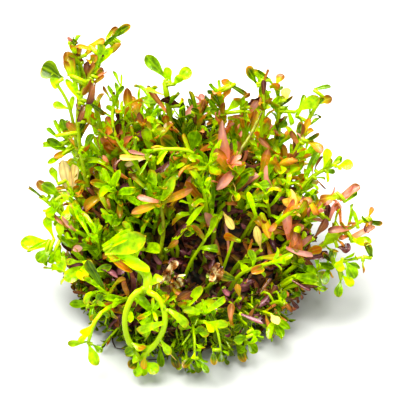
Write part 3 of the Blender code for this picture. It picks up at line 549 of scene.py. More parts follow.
        ("green", "broad", 10, 274, 322, 283, 336, 3), ("lime", "broad", 9, 272, 320, 268, 336, 4),
        ("green", "broad", 9, 277, 316, 290, 328, 3), ("cream", "paddle", 9, 271, 312, 277, 322, 4),
    ),
    "coral": (("olive", "clasping", 9, 300, 212, 309, 196, 4),),
    "front_right": (
        ("green", "paddle", 10, 247, 337, 237, 340, 3), ("green", "paddle", 6, 248, 333, 260, 333, 3),
    ),
    "front_middle": (("dark", "paddle", 7, 213, 350, 214, 364, 2),),
    "front_low": (
        ("dark", "paddle", 9, 195, 355, 184, 367, 2), ("green", "spoon", 6, 198, 358, 208, 372, 2),
    ),
    "middle_pink": (
        ("pink", "pointed", 16, 230, 168, 222, 124, 4), ("pink", "clasping", 14, 237, 168, 217, 190, 6),
        ("orange", "clasping", 13, 227, 170, 217, 149, 3),
    ),
    "mound": (
        ("olive", "strap", 7, 168, 130, 164, 112, 4), ("mauve", "pointed", 11, 184, 116, 206, 103, 3),
        ("lime", "paddle", 6, 312, 196, 312, 188, 4), ("gold", "strap", 8, 306, 198, 318, 209, 4),
        ("green", "broad", 12, 296, 276, 317, 281, 4), ("brown", "strap", 6, 298, 284, 320, 287, 2),
        ("maroon", "strap", 6, 292, 280, 308, 290, 3), ("coral", "broad", 13, 302, 258, 294, 230, 4),
        ("coral", "curled", 10, 288, 250, 299, 234, 5), ("mauve", "strap", 7, 286, 247, 306, 258, 5),
        ("pink", "clasping", 10, 290, 240, 285, 216, 5), ("pink", "curled", 8, 296, 252, 304, 238, 5),
        ("brown", "spoon", 11, 314, 238, 326, 222, 3), ("tipped", "paddle", 9, 304, 254, 322, 247, 4),
        ("maroon", "spoon", 9, 304, 260, 326, 254, 3), ("lit", "curled", 9, 298, 232, 300, 216, 5),
        ("lit", "curled", 8, 300, 240, 311, 233, 5), ("cream", "crumpled", 12, 298, 212, 290, 199, 5),
        ("cream", "crumpled", 11, 291, 211, 299, 200, 6), ("cream", "crumpled", 10, 294, 214, 291, 204, 7),
        ("lime", "paddle", 9, 68, 206, 65, 219, 3), ("coral", "strap", 6, 69, 228, 54, 217, 3),
        ("mauve", "strap", 6, 76, 231, 64, 221, 4), ("lime", "strap", 9, 93, 241, 72, 200, 3),
        ("olive", "strap", 9, 109, 210, 93, 183, 4), ("lit", "clasping", 9, 118, 232, 103, 212, 4),
        ("lit", "strap", 10, 114, 173, 92, 151, 4), ("coral", "curled", 8, 129, 179, 115, 169, 4),
        ("maroon", "strap", 6, 100, 174, 97, 158, 3), ("green", "paddle", 8, 160, 346, 161, 366, 1),
        ("dark", "paddle", 9, 172, 347, 176, 368, 1), ("green", "paddle", 9, 200, 347, 199, 372, 1),
        ("dark", "paddle", 8, 236, 344, 244, 361, 1), ("green", "paddle", 10, 247, 341, 256, 351, 3),
        ("green", "paddle", 9, 246, 345, 237, 353, 3), ("green", "paddle", 8, 246, 352, 244, 364, 2),
        ("lime", "strap", 7, 205, 313, 222, 300, 4), ("lime", "strap", 7, 205, 313, 200, 297, 4),
        ("lime", "spoon", 8, 205, 313, 190, 308, 4), ("lime", "spoon", 8, 205, 322, 224, 325, 5),
        ("lit", "spoon", 7, 205, 322, 214, 332, 5), ("coral", "strap", 8, 233, 326, 228, 309, 4),
        ("plum", "strap", 5, 241, 314, 261, 323, 3), ("brown", "curled", 6, 286, 304, 297, 314, 3),
        ("green", "paddle", 7, 282, 301, 285, 292, 3), ("brown", "strap", 6, 89, 294, 73, 291, 2),
        ("mauve", "paddle", 7, 86, 246, 75, 249, 3), ("green", "broad", 9, 98, 270, 111, 266, 3),
        ("mauve", "broad", 12, 214, 231, 204, 213, 3), ("maroon", "clasping", 8, 174, 238, 187, 225, 2),
        ("gold", "paddle", 6, 166, 249, 175, 244, 4), ("brown", "paddle", 8, 194, 250, 186, 243, 4),
        ("clear", "crumpled", 9, 164, 276, 170, 266, 5), ("clear", "crumpled", 9, 166, 282, 176, 274, 6),
        ("clear", "crumpled", 8, 172, 272, 163, 280, 6), ("clear", "crumpled", 9, 176, 280, 167, 270, 6),
        ("clear", "crumpled", 8, 182, 278, 174, 284, 6), ("clear", "crumpled", 8, 170, 286, 180, 283, 6),
        ("clear", "crumpled", 8, 208, 276, 216, 270, 5), ("clear", "crumpled", 8, 214, 282, 222, 275, 6),
        ("clear", "crumpled", 7, 218, 272, 210, 282, 6), ("plum", "clasping", 8, 224, 288, 232, 298, 3),
        ("gold", "spoon", 6, 240, 298, 237, 288, 3), ("maroon", "curled", 11, 140, 246, 152, 238, 2),
        ("plum", "curled", 11, 100, 268, 116, 276, 3), ("maroon", "curled", 10, 128, 270, 142, 282, 3),
        ("plum", "clasping", 8, 152, 252, 160, 262, 2), ("maroon", "clasping", 8, 204, 252, 212, 260, 2),
        ("brown", "curled", 10, 160, 290, 178, 288, 4), ("coral", "curled", 10, 172, 290, 188, 296, 4),
        ("brown", "broad", 9, 176, 300, 190, 292, 4), ("lime", "strap", 7, 240, 262, 262, 256, 4),
        ("gold", "broad", 9, 262, 258, 284, 258, 3), ("lime", "spoon", 7, 240, 262, 246, 270, 4),
        ("cream", "paddle", 8, 261, 250, 257, 231, 4), ("orange", "strap", 5, 247, 256, 251, 239, 4),
        ("dark", "spoon", 9, 241, 280, 222, 278, 5), ("lit", "strap", 8, 174, 241, 203, 208, 4),
        ("cream", "spoon", 8, 223, 212, 231, 225, 5), ("coral", "strap", 6, 225, 203, 241, 206, 5),
        ("green", "strap", 10, 212, 209, 212, 178, 5), ("tipped", "strap", 9, 206, 206, 186, 180, 5),
        ("lit", "strap", 9, 256, 216, 243, 184, 5), ("green", "spoon", 8, 250, 187, 267, 184, 4),
        ("mauve", "pointed", 10, 271, 191, 266, 168, 5), ("orange", "broad", 10, 262, 172, 268, 150, 4),
        ("coral", "spoon", 7, 273, 151, 263, 142, 4), ("gold", "broad", 10, 262, 214, 269, 238, 5),
        ("dark", "paddle", 12, 181, 151, 163, 138, 4), ("green", "paddle", 14, 191, 153, 197, 130, 4),
        ("dark", "spoon", 8, 201, 143, 219, 137, 4), ("maroon", "strap", 9, 158, 148, 141, 132, 4),
        ("straw", "strap", 6, 152, 156, 129, 158, 5), ("orange", "strap", 6, 191, 165, 180, 168, 5),
        ("orange", "strap", 6, 191, 165, 201, 158, 5), ("olive", "strap", 9, 149, 190, 131, 176, 4),
        ("tipped", "strap", 8, 116, 158, 100, 140, 4), ("gold", "strap", 8, 282, 178, 276, 160, 4),
    ),
}  # fmt: skip


def linear(code):
    """An sRGB hex colour as linear red, green, blue and alpha."""
    shares = [int(code[i : i + 2], 16) / 255 for i in (0, 2, 4)]
    return (*(s / 12.92 if s <= 0.04045 else ((s + 0.055) / 1.055) ** 2.4 for s in shares), 1.0)


def colour_property(name, description, code):
    """A colour that a user may change, with its default as an sRGB hex value."""
    colour = linear(code)
    return FloatVectorProperty(name=name, description=description, default=colour, size=4, subtype="COLOR")


def length_property(name, description, length):
    """A length that a user may change."""
    return FloatProperty(name=name, description=description, default=length, unit="LENGTH")


class RotalaShape(bpy.types.PropertyGroup):
    """Sizes of the leaves and stems, and how many there are."""

    leaf_thickness: length_property("Leaf thickness", "Thickness of a leaf at its midrib", 0.34 * MM)
    stem_taper: FloatProperty(
        name="Taper of stems",
        description="How thick a stem is at its tip, as a share of its foot",
        default=0.7,
    )
    long_leaf: FloatProperty(
        name="Leaves of longer shoots",
        description="Their length as a share of the solids' leaves",
        default=1.15,
    )
    short_spacing: length_property("Spacing of short shoots", "Least distance between short shoots", 3.5 * MM)
    short_depth: length_property("Depth of short shoots", "How far inside the mound they are set", 3.0 * MM)
    old_spacing: length_property(
        "Spacing of old growth", "Least distance between old stems and leaves", 2.6 * MM
    )
    short_trials: IntProperty(
        name="Trials of short shoots", description="How many places are tried for short shoots", default=9000
    )
    short_reach: length_property(
        "Reach of short shoots", "How far short shoots stand out of the mound", 5.5 * MM
    )
    short_leaf: length_property("Leaf of short shoots", "Length of a full leaf of a short shoot", 7.6 * MM)
    short_room: length_property("Room of single leaves", "How near a short shoot may come to one", 2.2 * MM)
    fringe_spacing: length_property(
        "Spacing of the fringe", "Least distance between shoots at the foot", 2.9 * MM
    )
    litter_depth: length_property(
        "Depth of the litter", "How far under the mound's surface the old leaves lie", 7.5 * MM
    )
    thread_count: IntProperty(
        name="Root threads", description="How many roots show on the mat's side", default=260
    )


class RotalaColours(bpy.types.PropertyGroup):
    """Colours of the living, reddened, wilted and dry tissue and of the roots."""

    deep_green: colour_property("Deep green", "Oldest fresh leaves", "3E5A00")
    leaf_green: colour_property("Leaf green", "Grown fresh leaves", "729A00")
    lime: colour_property("Lime", "Young leaves", "ACCC00")
    yellow_lime: colour_property("Yellow lime", "Youngest leaves", "BCD406")
    olive: colour_property("Olive", "Leaves that start to redden", "B8B20C")
    orange: colour_property("Orange", "Leaves half reddened", "C89A20")
    salmon: colour_property("Salmon", "Leaves well reddened", "DCA080")
    mauve: colour_property("Mauve", "Leaves reddened and aged", "CCA098")
    wilted_olive: colour_property("Wilted olive", "Freshly wilted leaves", "4A5008")
    red_brown: colour_property("Red brown", "Wilted red leaves", "8A5624")
    maroon: colour_property("Maroon", "Wilted leaves in the hollow", "4C2224")
    plum: colour_property("Plum", "Wet wilted leaves", "845058")
    straw: colour_property("Straw", "Dry leaves", "EEE2B0")
    cream: colour_property("Cream", "Bleached leaves", "F0DE80")
    straw_vein: colour_property("Dry vein", "Veins of dry leaves", "9A7C38")
    stem: colour_property("Stem", "Skin of young stems", "BAD600")
    tip: colour_property("Leaf tip", "Blushed tips and undersides of fresh leaves", "B87420")
    old_stem: colour_property("Old stem", "Skin of old stems", "7A6A14")
    # Litter is nearly black: partly the colour of old leaves and stems, partly painted shade deep inside the
    # clump
    litter: colour_property("Litter", "Old leaves and stems inside", "100A03")
    root: colour_property("Root", "Skin of the roots", "3A2412")
    pale_root: colour_property("Pale root", "Young roots", "B8A878")


class RotalaStage(bpy.types.PropertyGroup):
    """The camera, the floor and the light."""

    camera_distance: length_property(
        "Camera distance", "From the camera to the middle of the picture", 0.42
    )
    frame_width: length_property(
        "Width of view", "Width of what the camera sees at that distance", 0.108
    )
    elevation: FloatProperty(
        name="Elevation",
        description="Angle of the camera above the floor",
        default=math.radians(45),
        unit="ROTATION",
    )
    middle: FloatVectorProperty(
        name="Middle",
        description="Point that the camera looks at",
        default=(0.0054, 0.012, 0.020),
        subtype="XYZ",
    )
    key_power: FloatProperty(
        name="Key light", description="Power of the soft lamp", default=13.2, unit="POWER"
    )
    key_width: length_property("Key width", "Width of the soft lamp", 0.55)
    fill_power: FloatProperty(
        name="Fill light", description="Power of the small lamp", default=0.5, unit="POWER"
    )
    fill_width: length_property("Fill width", "Width of the small lamp", 0.08)
    sky: FloatProperty(name="Sky", description="Strength of the even light", default=0.9)
    floor: colour_property("Floor", "Matt white paper", "AEAFAC")


# Forms and routes


def ease(value):
    """Ease from 0 to 1 as the value goes from 0 to 1."""
    share = min(max(value, 0.0), 1.0)
    return share * share * (3 - 2 * share)


def reach(azimuth):
    """How far the undergrowth spreads from the middle in this direction."""
    across = REACH_RIGHT if math.cos(azimuth) > 0 else REACH_LEFT
    along = REACH_BACK if math.sin(azimuth) > 0 else REACH_FRONT
    return 1 / math.hypot(math.cos(azimuth) / across, math.sin(azimuth) / along)


def mound_height(x, y):
    """Height of the undergrowth's top: low in the hollow, high at the back, with a rim at the front."""
    climb = ease((y - SLOPE_START) / SLOPE_LENGTH)
    height = HOLLOW_HEIGHT + (BACK_HEIGHT - HOLLOW_HEIGHT) * climb
    height -= SIDE_FALL * ((x - CREST_PLACE) / CREST_HALF_LENGTH) ** 2 * climb
    from_rim = (Vector((x, y)) - FRONT_RIM_PLACE).length / FRONT_RIM_WIDTH
    return height + FRONT_RIM_HEIGHT * math.exp(-from_rim * from_rim)


def mound_point(azimuth, rise, depth=0.0):
    """A point of the mound: rise goes from 0 at its foot to 1 at the middle of its top."""
    place = rise * (len(MOUND_PROFILE) - 1)
    low = min(int(place), len(MOUND_PROFILE) - 2)
    share = place - low
    reach_share, height_share = (
        a + (b - a) * share for a, b in zip(MOUND_PROFILE[low], MOUND_PROFILE[low + 1])
    )
    radius = max(reach(azimuth) - depth, 0) * reach_share
    x, y = radius * math.cos(azimuth), radius * math.sin(azimuth)
    top = mound_height(x, y) - depth - SKIRT_HEIGHT
    return Vector((x, y, SKIRT_HEIGHT + top * height_share))


def mound_normal(azimuth, rise):
    """The direction straight out of the mound."""
    step = 0.01
    here = mound_point(azimuth, rise)
    aside = mound_point(azimuth + step, rise) - here
    upward = mound_point(azimuth, min(rise + step, 1.0)) - mound_point(azimuth, rise - step)
    normal = aside.cross(upward)
    return normal.normalized() if normal.length > 0 else UP.copy()


def smooth_route(knots, steps=16):
    """Close points along one smooth curve through the given ones."""
    padded = [2 * knots[0] - knots[1]] + knots + [2 * knots[-1] - knots[-2]]
    curve = []
    for before, start, end, after in zip(padded, padded[1:], padded[2:], padded[3:]):
        # Handles of a third of the way make the curve pass each point in the direction of its neighbours
        handles = (start + (end - before) / 6, end - (after - start) / 6)
        curve += geometry.interpolate_bezier(start, *handles, end, steps)[:-1]
    return curve + [knots[-1]]


def frames_along(curve, turn):
    """The curve's points with their distance from its start, direction and two square side directions."""
    frames = []
    distance = 0.0
    side = None
    for i, point in enumerate(curve):
        ahead = curve[min(i + 1, len(curve) - 1)]
        behind = curve[max(i - 1, 0)]
        along = (ahead - behind).normalized()
        if side is None:
            side = Matrix.Rotation(turn, 3, along) @ along.orthogonal()
        else:
            distance += (point - curve[i - 1]).length
        side = (side - along * side.dot(along)).normalized()
        frames.append((distance, point, along, side, along.cross(side)))
    return frames


def route_frames(route, turn=0.0):
    """The points and directions along the smooth route of a longer shoot."""
    return frames_along(smooth_route([Vector(point) * MM for point in route]), turn)


def frame_at(frames, distance):
    """The point and the three directions at a distance along the curve."""
    for low, high in zip(frames, frames[1:]):
        if distance <= high[0]:
            share = max((distance - low[0]) / (high[0] - low[0]), 0)
            point, *axes = (a.lerp(b, share) for a, b in zip(low[1:], high[1:]))
            return (point, *(axis.normalized() for axis in axes))
    return frames[-1][1:]


def view_heading(stage):
    """The direction that the camera looks in."""
    return Vector((0, math.cos(stage.elevation), -math.sin(stage.elevation)))


def seen_point(stage, across, down, depth):
    """The point at a place in the picture from the front, and at a depth along the view."""
    heading = view_heading(stage)
    right = Vector((1, 0, 0))
    share = stage.frame_width / PICTURE_SIDE / stage.camera_distance
    aside = right * (across - PICTURE_SIDE / 2) + right.cross(heading) * (PICTURE_SIDE / 2 - down)
    eye = Vector(stage.middle) - heading * stage.camera_distance
    return eye + (heading + aside * share) * depth


def mound_depth(stage, across, down):
    """How deep in the picture the mound's surface lies at a place, and infinity beside the mound."""
    step = 0.5 * MM
    steps_before_middle = 130
    for i in range(2 * steps_before_middle):
        depth = stage.camera_distance + (i - steps_before_middle) * step
        point = seen_point(stage, across, down, depth)
        within = math.hypot(point.x, point.y) < reach(math.atan2(point.y, point.x))
        if within and point.z < mound_height(point.x, point.y):
            return depth
    return math.inf


def nearest_place(stage, across, down, frames):
    """How far along a route, how deep and where it comes nearest to a place in the picture."""
    found = []
    for distance, point, *_ in frames:
        depth = stage.camera_distance + (point - Vector(stage.middle)).dot(view_heading(stage))
        found.append(((seen_point(stage, across, down, depth) - point).length, distance, depth, point))
    return min(found)[1:]


# Leaves and stems


class LeafNet:
    """The net of a leaf: rows from foot to tip, columns across, and two skins that share their rim."""

    def __init__(self, rows, columns):
        upper = np.arange((rows + 1) * (columns + 1)).reshape(rows + 1, columns + 1)
        lower = upper.copy()
        inside = np.arange((rows - 1) * (columns - 1)).reshape(rows - 1, columns - 1)
        lower[1:-1, 1:-1] = upper.size + inside
        self.shares = np.sin(np.arange(rows + 1) / rows * np.pi / 2)
        row, column = np.indices(upper.shape)
        inner = (slice(1, -1), slice(1, -1))
        self.row = np.concatenate((row.ravel(), row[inner].ravel()))
        column = np.concatenate((column.ravel(), column[inner].ravel()))
        self.across = column / columns * 2 - 1
        self.side = np.zeros(len(self.row))
        self.side[upper[inner].ravel()] = 1
        self.side[upper.size :] = -1
        quads, places = [], []
        for i in range(rows):
            for j in range(columns):
                corners = ((i, j), (i + 1, j), (i + 1, j + 1), (i, j + 1))
                quads.append([upper[corner] for corner in corners])
                places.append([(0.5 * b / columns, a / rows) for a, b in corners])
                quads.append([lower[corner] for corner in reversed(corners)])
                places.append([(0.5 + 0.5 * b / columns, a / rows) for a, b in reversed(corners)])
        self.quads = np.array(quads)
        self.places = np.array(places)


FINE_LEAF = LeafNet(8, 4)
PLAIN_LEAF = LeafNet(7, 4)
SMALL_LEAF = LeafNet(6, 2)


def leaf_outline(share, habit):
    """Half the width of a leaf along its length, as a share of its greatest. Its tip is round."""
    rise = np.clip(share / habit.broadest, 0, 1)
    fall = np.clip((share - habit.broadest) / (1 - habit.broadest), 0, 1)
    widening = habit.foot + (1 - habit.foot) * (rise * rise * (3 - 2 * rise)) ** habit.neck
    rounding = np.maximum((1 - fall**habit.bluntness) ** 0.5, LEAF_TIP)
    return np.where(share < habit.broadest, widening, rounding)


def leaf_points(net, length, width, habit, bend, cup, twist, thickness, crumple, draw):
    """A leaf's points with its foot at the origin, its length along X and its upper side up."""
    phases = [draw.uniform(0, math.tau) for _ in range(4)]
    share = net.shares
    angle = bend * share**1.5 + crumple * np.sin(LENGTH_WAVE * share + phases[3])
    steps = np.diff(share) * length
    middle = (angle[1:] + angle[:-1]) / 2
    ahead = np.concatenate(([0.0], np.cumsum(steps * np.cos(middle))))
    above = np.concatenate(([0.0], np.cumsum(-steps * np.sin(middle))))
    row, across = net.row, net.across
    half = (width / 2 * leaf_outline(share, habit))[row]
    s = share[row]
    half = half * (1 + 0.5 * crumple * np.sin(EDGE_WAVE * s + phases[0] + across))
    curve = cup * across
    y = half * np.sin(curve) / cup
    z = half * (1 - np.cos(curve)) / cup
    z = z + crumple * half * across * np.sin(EDGE_WAVE * s + phases[1])
    z = z + crumple * half * across**2 * np.sin(FOLD_WAVE * s + phases[2] + 2 * across)
    z = z + net.side * thickness / 2 * (1 - across**2) * (1 - TIP_THINNING * s)
    turn = twist * s
    y, z = y * np.cos(turn) - z * np.sin(turn), y * np.sin(turn) + z * np.cos(turn)
    lean = angle[row]
    return np.stack((ahead[row] + z * np.sin(lean), y, above[row] + z * np.cos(lean)), axis=1)


def add_piece(mesh, node):
    """Makes a mesh an object that rides with the clump and stands in for the given node."""
    piece = bpy.data.objects.new(mesh.name, mesh)
    bpy.context.scene.collection.objects.link(piece)
    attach(piece, BODY)
    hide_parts(node)


class Foliage:
    """Gathers leaves, stems and roots into one mesh, with the values that their materials read."""

    VALUES = ("hue", "along", "across", "blush", "shade")

    def __init__(self):
        self.points = []
        self.faces = []
        self.places = []
        self.values = []
        self.slots = []
        self.count = 0
        self.cells = 0

    def add(self, points, faces, places, values, slot):
        """Adds one leaf or stem: its points, faces, places on its cell, values and material."""
        self.points.append(points)
        self.faces += [[int(i) + self.count for i in face] for face in faces]
        self.places += [(self.cells, place) for place in places]
        self.values.append(np.stack([np.broadcast_to(v, len(points)) for v in values], axis=1))
        self.slots += [slot] * len(faces)
        self.count += len(points)
        self.cells += 1

    def make(self, name, materials, slot, node):
        """Makes the mesh, and a piece of it that stands in for the given node."""
        mesh = bpy.data.meshes.new(name)
        mesh.from_pydata(np.concatenate(self.points).tolist(), [], self.faces)
        values = np.concatenate(self.values).astype(np.float32)
        for i, title in enumerate(self.VALUES):
            mesh.attributes.new(title, "FLOAT", "POINT").data.foreach_set("value", values[:, i].copy())
        mesh.polygons.foreach_set("material_index", self.slots)
        for material in materials:
            mesh.materials.append(material)
        self.lay_out(mesh)
        mesh.shade_smooth()
        mesh.set_sharp_from_angle(angle=math.radians(75))
        add_piece(mesh, node)

    def lay_out(self, mesh):
        """Gives every leaf and stem its own square of the texture, row by row."""
        rows = math.ceil(math.sqrt(self.cells))
        margin = 0.04
        layer = mesh.uv_layers.new(name="OFBake")
        flat = []
        for cell, place in self.places:
            corner = (cell % rows, cell // rows)
            for along, up in place:
                flat += [
                    (corner[0] + margin + along * (1 - 2 * margin)) / rows,
                    (corner[1] + margin + up * (1 - 2 * margin)) / rows,
                ]
        layer.uv.foreach_set("vector", flat)


def add_leaf(foliage, net, foot, outward, across, length, kind, tissue, draw, thickness, below=0, width=None):
    """Adds one leaf that grows outward from its foot. Below is how often its underside is reddened."""
    habit = HABITS[kind]
    state, hue, blush = tissue
    width = width or length * habit.width * draw.uniform(*WIDTH_SPREAD)
    bend = draw.uniform(*habit.bends)
    cup = max(draw.uniform(*habit.cups), LEAST_CUP)
    twist = draw.uniform(-habit.twist, habit.twist)
    crumple = draw.uniform(LEAST_CRUMPLE, habit.crumple)
    points = leaf_points(net, length, width, habit, bend, cup, twist, thickness, crumple, draw)
    points = points @ np.array([outward, across, outward.cross(across)]) + np.array(foot)
    reddened_below = (net.side < 0) * (draw.random() < below) * draw.uniform(0.5, 1.0)
    values = (hue, net.shares[net.row], net.across, blush + reddened_below, draw.random())
    foliage.add(points, net.quads, net.places, values, STATES.index(state))


def add_stem(foliage, frames, stops, radii, sides, hue, shade, slot=STEM):
    """Adds a round stem or root through the stops along its route, closed at both ends."""
    turns = [math.tau * i / sides for i in range(sides)]
    rings = []
    for stop, radius in zip(stops, radii):
        centre, _, side, front = frame_at(frames, stop)
        rings += [centre + (side * math.cos(turn) + front * math.sin(turn)) * radius for turn in turns]
    faces, places = [], []
    last = len(stops) - 1
    for i in range(last):
        low, high = (STRIP_FOOT + STRIP_LENGTH * end / last for end in (i, i + 1))
        for j in range(sides):
            after = (j + 1) % sides
            faces.append((i * sides + j, i * sides + after, (i + 1) * sides + after, (i + 1) * sides + j))
            left, right = j / sides, (j + 1) / sides
            places.append(((left, low), (right, low), (right, high), (left, high)))
    round_points = [(DISC_RADIUS * math.cos(turn), DISC_RADIUS * math.sin(turn)) for turn in turns]
    disc = [(0.5 + x, DISC_RADIUS + y) for x, y in round_points]
    faces.append(tuple(range(sides))[::-1])
    places.append(disc[::-1])
    faces.append(tuple(last * sides + j for j in range(sides)))
    places.append([(x, y + TOP_DISC) for x, y in disc])
    along = np.repeat(np.linspace(0, 1, last + 1), sides)
    across = np.tile(np.sin(turns), last + 1)
    foliage.add(np.array(rings), faces, places, (hue, along, across, 0.0, shade), slot)


def add_bare_stem(foliage, points, steps, radii, sides, hue, shade, slot=STEM):
    """Adds a stem or root along a smooth route through the points, with its radii at even distances."""
    frames = frames_along(smooth_route(points, steps), 0.0)
    last = len(radii) - 1
    stops = [frames[-1][0] * i / last for i in range(last + 1)]
    add_stem(foliage, frames, stops, radii, sides, hue, shade, slot)


def node_radii(stops, nodes, total, foot, tip):
    """A stem's radius at each stop: it tapers, and swells a little where leaves stand."""
    radii = []
    for stop in stops:
        nearest = min(abs(stop - place) for place in nodes)
        swelling = 1 + SWELLING * math.exp(-((nearest / SWELLING_LENGTH) ** 2))
        radii.append((foot + (tip - foot) * stop / total) * swelling)
    return radii


def pick(shares, draw):
    """One of the keys, drawn by their shares."""
    return draw.choices(list(shares), shares.values())[0]


def pick_tissue(family, age, vigour, draw):
    """The state, hue and blush of a leaf. Older leaves, lower on the shoot, are duller or wilted."""
    if draw.random() < AGED_LEAVES * age:
        family = "russet" if draw.random() < 0.3 else "olive"
    kinds = FAMILIES[family]
    _, state, low, high, blush = draw.choices(kinds, [kind[0] for kind in kinds])[0]
    dulling = 0.18 * age * (state == "fresh")
    hue = low + (high - low) * (0.65 * vigour + 0.35 * draw.random()) - dulling
    return state, min(max(hue, 0.0), 1.0), blush * draw.random() ** 1.5


def grow_shoot(foliage, frames, start, pairs, radii, sides, family, habit, draw, thickness):
    """Grows one shoot: a stem from its start to its tip, with the given pairs of leaves on it.

    A pair is its distance along the stem, its turn round it, its leaves' length and their age.
    """
    total = frames[-1][0]
    nodes = [pair[0] for pair in pairs] or [total - 1 * MM]
    first = max(nodes[0] - BELOW_NODE, start + 0.5 * MM)
    count = max(round((first - start) / RING_SPACING), 1)
    stops = [start + (first - start) * i / count for i in range(count)]
    below_nodes = [node - BELOW_NODE for node in nodes[1:]]
    stops += sorted({first, total - BELOW_TIP, total, *nodes, *below_nodes})
    thicknesses = node_radii(stops, nodes, total, *radii)
    thicknesses[-1] *= TIP_NARROWING
    hue = draw.uniform(0.3, 0.9) if family in OLD_STEMS else draw.uniform(0.0, 0.4)
    add_stem(foliage, frames, stops, thicknesses, sides, hue, draw.random())
    vigour = draw.random()
    for place, turn, length, age in pairs:
        point, along, side, front = frame_at(frames, place)
        for half_turn in (0.0, math.pi):
            if draw.random() < MISSING_LEAVES * (0.3 + age):
                continue
            angle = turn + half_turn + draw.uniform(-0.25, 0.25)
            away = side * math.cos(angle) + front * math.sin(angle)
            kind = "curled" if draw.random() < CURLED_LEAVES + 0.15 * age else habit
            low, high = HABITS[kind].pitches
            pitch = low + (high - low) * (1 - age) ** 0.7 + draw.uniform(-0.25, 0.25)
            outward = away * math.cos(pitch) + along * math.sin(pitch)
            across = along.cross(away).normalized()
            foot = point + away * radii[1] * 0.7
            size = length * draw.uniform(0.78, 1.18)
            tissue = pick_tissue(family, age, vigour, draw)
            net = FINE_LEAF if kind == "curled" or sides == LONG_SIDES else PLAIN_LEAF
            net = SMALL_LEAF if size < SMALL_LEAF_LENGTH else net
            below = RED_BELOW.get(family, 0.0)
            add_leaf(foliage, net, foot, outward, across, size, kind, tissue, draw, thickness, below)


def marked_leaves(carrier):
    """The single leaves that a longer shoot or the mound carries."""
    leaves = []
    for tissue, habit, width, foot_across, foot_down, tip_across, tip_down, nearer in MARKED_LEAVES[carrier]:
        foot, tip = (foot_across, foot_down), (tip_across, tip_down)
        leaves.append(MarkedLeaf(tissue, habit, width, foot, tip, nearer))
    return leaves


def leaf_end(stage, leaf, depth):
    """Where a single leaf's tip is, with its foot at this depth in the picture."""
    return seen_point(stage, *leaf.tip, depth - leaf.nearer * MM)


def leaf_places(stage, leaf, foot, depth):
    """Places along a single leaf, from near its foot to its tip."""
    tip = leaf_end(stage, leaf, depth)
    return [foot.lerp(tip, share) for share in (0.35, 0.7, 1.0)]


def add_marked_leaf(foliage, stage, leaf, foot, depth, draw, thickness):
    """Adds a single leaf from its foot to its tip, with its upper side to the front and up."""
    outward = leaf_end(stage, leaf, depth) - foot
    length = outward.length * MARKED_LONGER
    outward.normalize()
    facing = Vector((draw.uniform(-0.5, 0.5), draw.uniform(-1.1, -0.3), draw.uniform(0.5, 1.1)))
    side = facing.cross(outward).normalized()
    width = leaf.width * stage.frame_width / PICTURE_SIDE * MARKED_WIDER
    kind, tissue = leaf.habit, TISSUES[leaf.tissue]
    add_leaf(foliage, FINE_LEAF, foot, outward, side, length, kind, tissue, draw, thickness, width=width)


def side_stem(foliage, stage, place, foot, depth, draw):
    """Leads a side stem to where single leaves start in the picture, if that is off their shoot."""
    start = seen_point(stage, *place, depth)
    gap = (start - foot).length
    if gap < LEAST_SIDE_STEM:
        return foot
    waist = foot.lerp(start, 0.5) + (UP * 0.15 + Vector((draw.uniform(-0.1, 0.1), -0.15, 0))) * gap
    radii = [SIDE_STEM_RADIUS] * 7
    hue = draw.uniform(0, 0.4)
    add_bare_stem(foliage, [foot, waist, start], 4, radii, LONG_SIDES, hue, draw.random())
    return start


def long_shoot(name, shoot, index, shape, stage, materials):
    """Grows one of the longer shoots over its solid."""
    draw = random.Random(SEED * 100 + index)
    frames = route_frames(shoot.route, index * TURN_BETWEEN_SHOOTS)
    marked = marked_leaves(name) if name in MARKED_LEAVES else []
    feet = [nearest_place(stage, *leaf.foot, frames) for leaf in marked]
    if feet:
        highest = max(distance for distance, *_ in feet) + PAST_MARKED
        frames = [place for place in frames if place[0] <= highest]
    last = frames[-1][0] - PAIR_HALF_HEIGHT
    pairs = []
    count, spacing = shoot.pairs, shoot.spacing * MM
    lowest = last - spacing * (count - 1)
    gap = max(0.55 * shoot.spacing, 2.6) * MM
    for i in range(int(lowest * shoot.cover / gap), 0, -1):
        size = shoot.leaf * MM * draw.uniform(0.65, 1.0)
        pairs.append((lowest - gap * i, i * 1.7, size, draw.uniform(0.4, 1.0)))
    for i in range(count - (len(marked) > 2)):
        place = last - spacing * (count - 1 - i)
        size = (0.75 if marked else 1.0) * shoot.leaf * MM * (0.75 + 0.25 * (i + 1) / count)
        quarter = math.pi / 2 * (i % 2)
        age = 1 - (i + 1) / count
        pairs.append((place, math.pi / 2 + quarter, size, age))
        if i < count - 1:
            pairs.append((place + spacing / 2, math.pi * 0.8 + quarter, size * 0.9, age))
        else:
            pairs.append((place + 0.4 * MM, math.pi * 0.8 + quarter, size * 0.6, 0.0))
    pairs = [(place, turn, size * shape.long_leaf, age) for place, turn, size, age in pairs]
    foliage = Foliage()
    radii = (shoot.radius * MM, shoot.radius * MM * shape.stem_taper)
    start = max(min([lowest - 22 * MM, *(pair[0] - 4 * MM for pair in pairs)]), 0.0)
    thickness = shape.leaf_thickness
    grow_shoot(foliage, frames, start, pairs, radii, LONG_SIDES, shoot.family, shoot.habit, draw, thickness)
    starts = {}
    for leaf, (_, depth, foot) in zip(marked, feet):
        if leaf.foot not in starts:
            starts[leaf.foot] = side_stem(foliage, stage, leaf.foot, foot, depth, draw)
        add_marked_leaf(foliage, stage, leaf, starts[leaf.foot], depth, draw, thickness)
    foliage.make(name + "_shoot", materials, SLOTS.get(shoot.family, "lime_leaf"), "shoot_" + name)


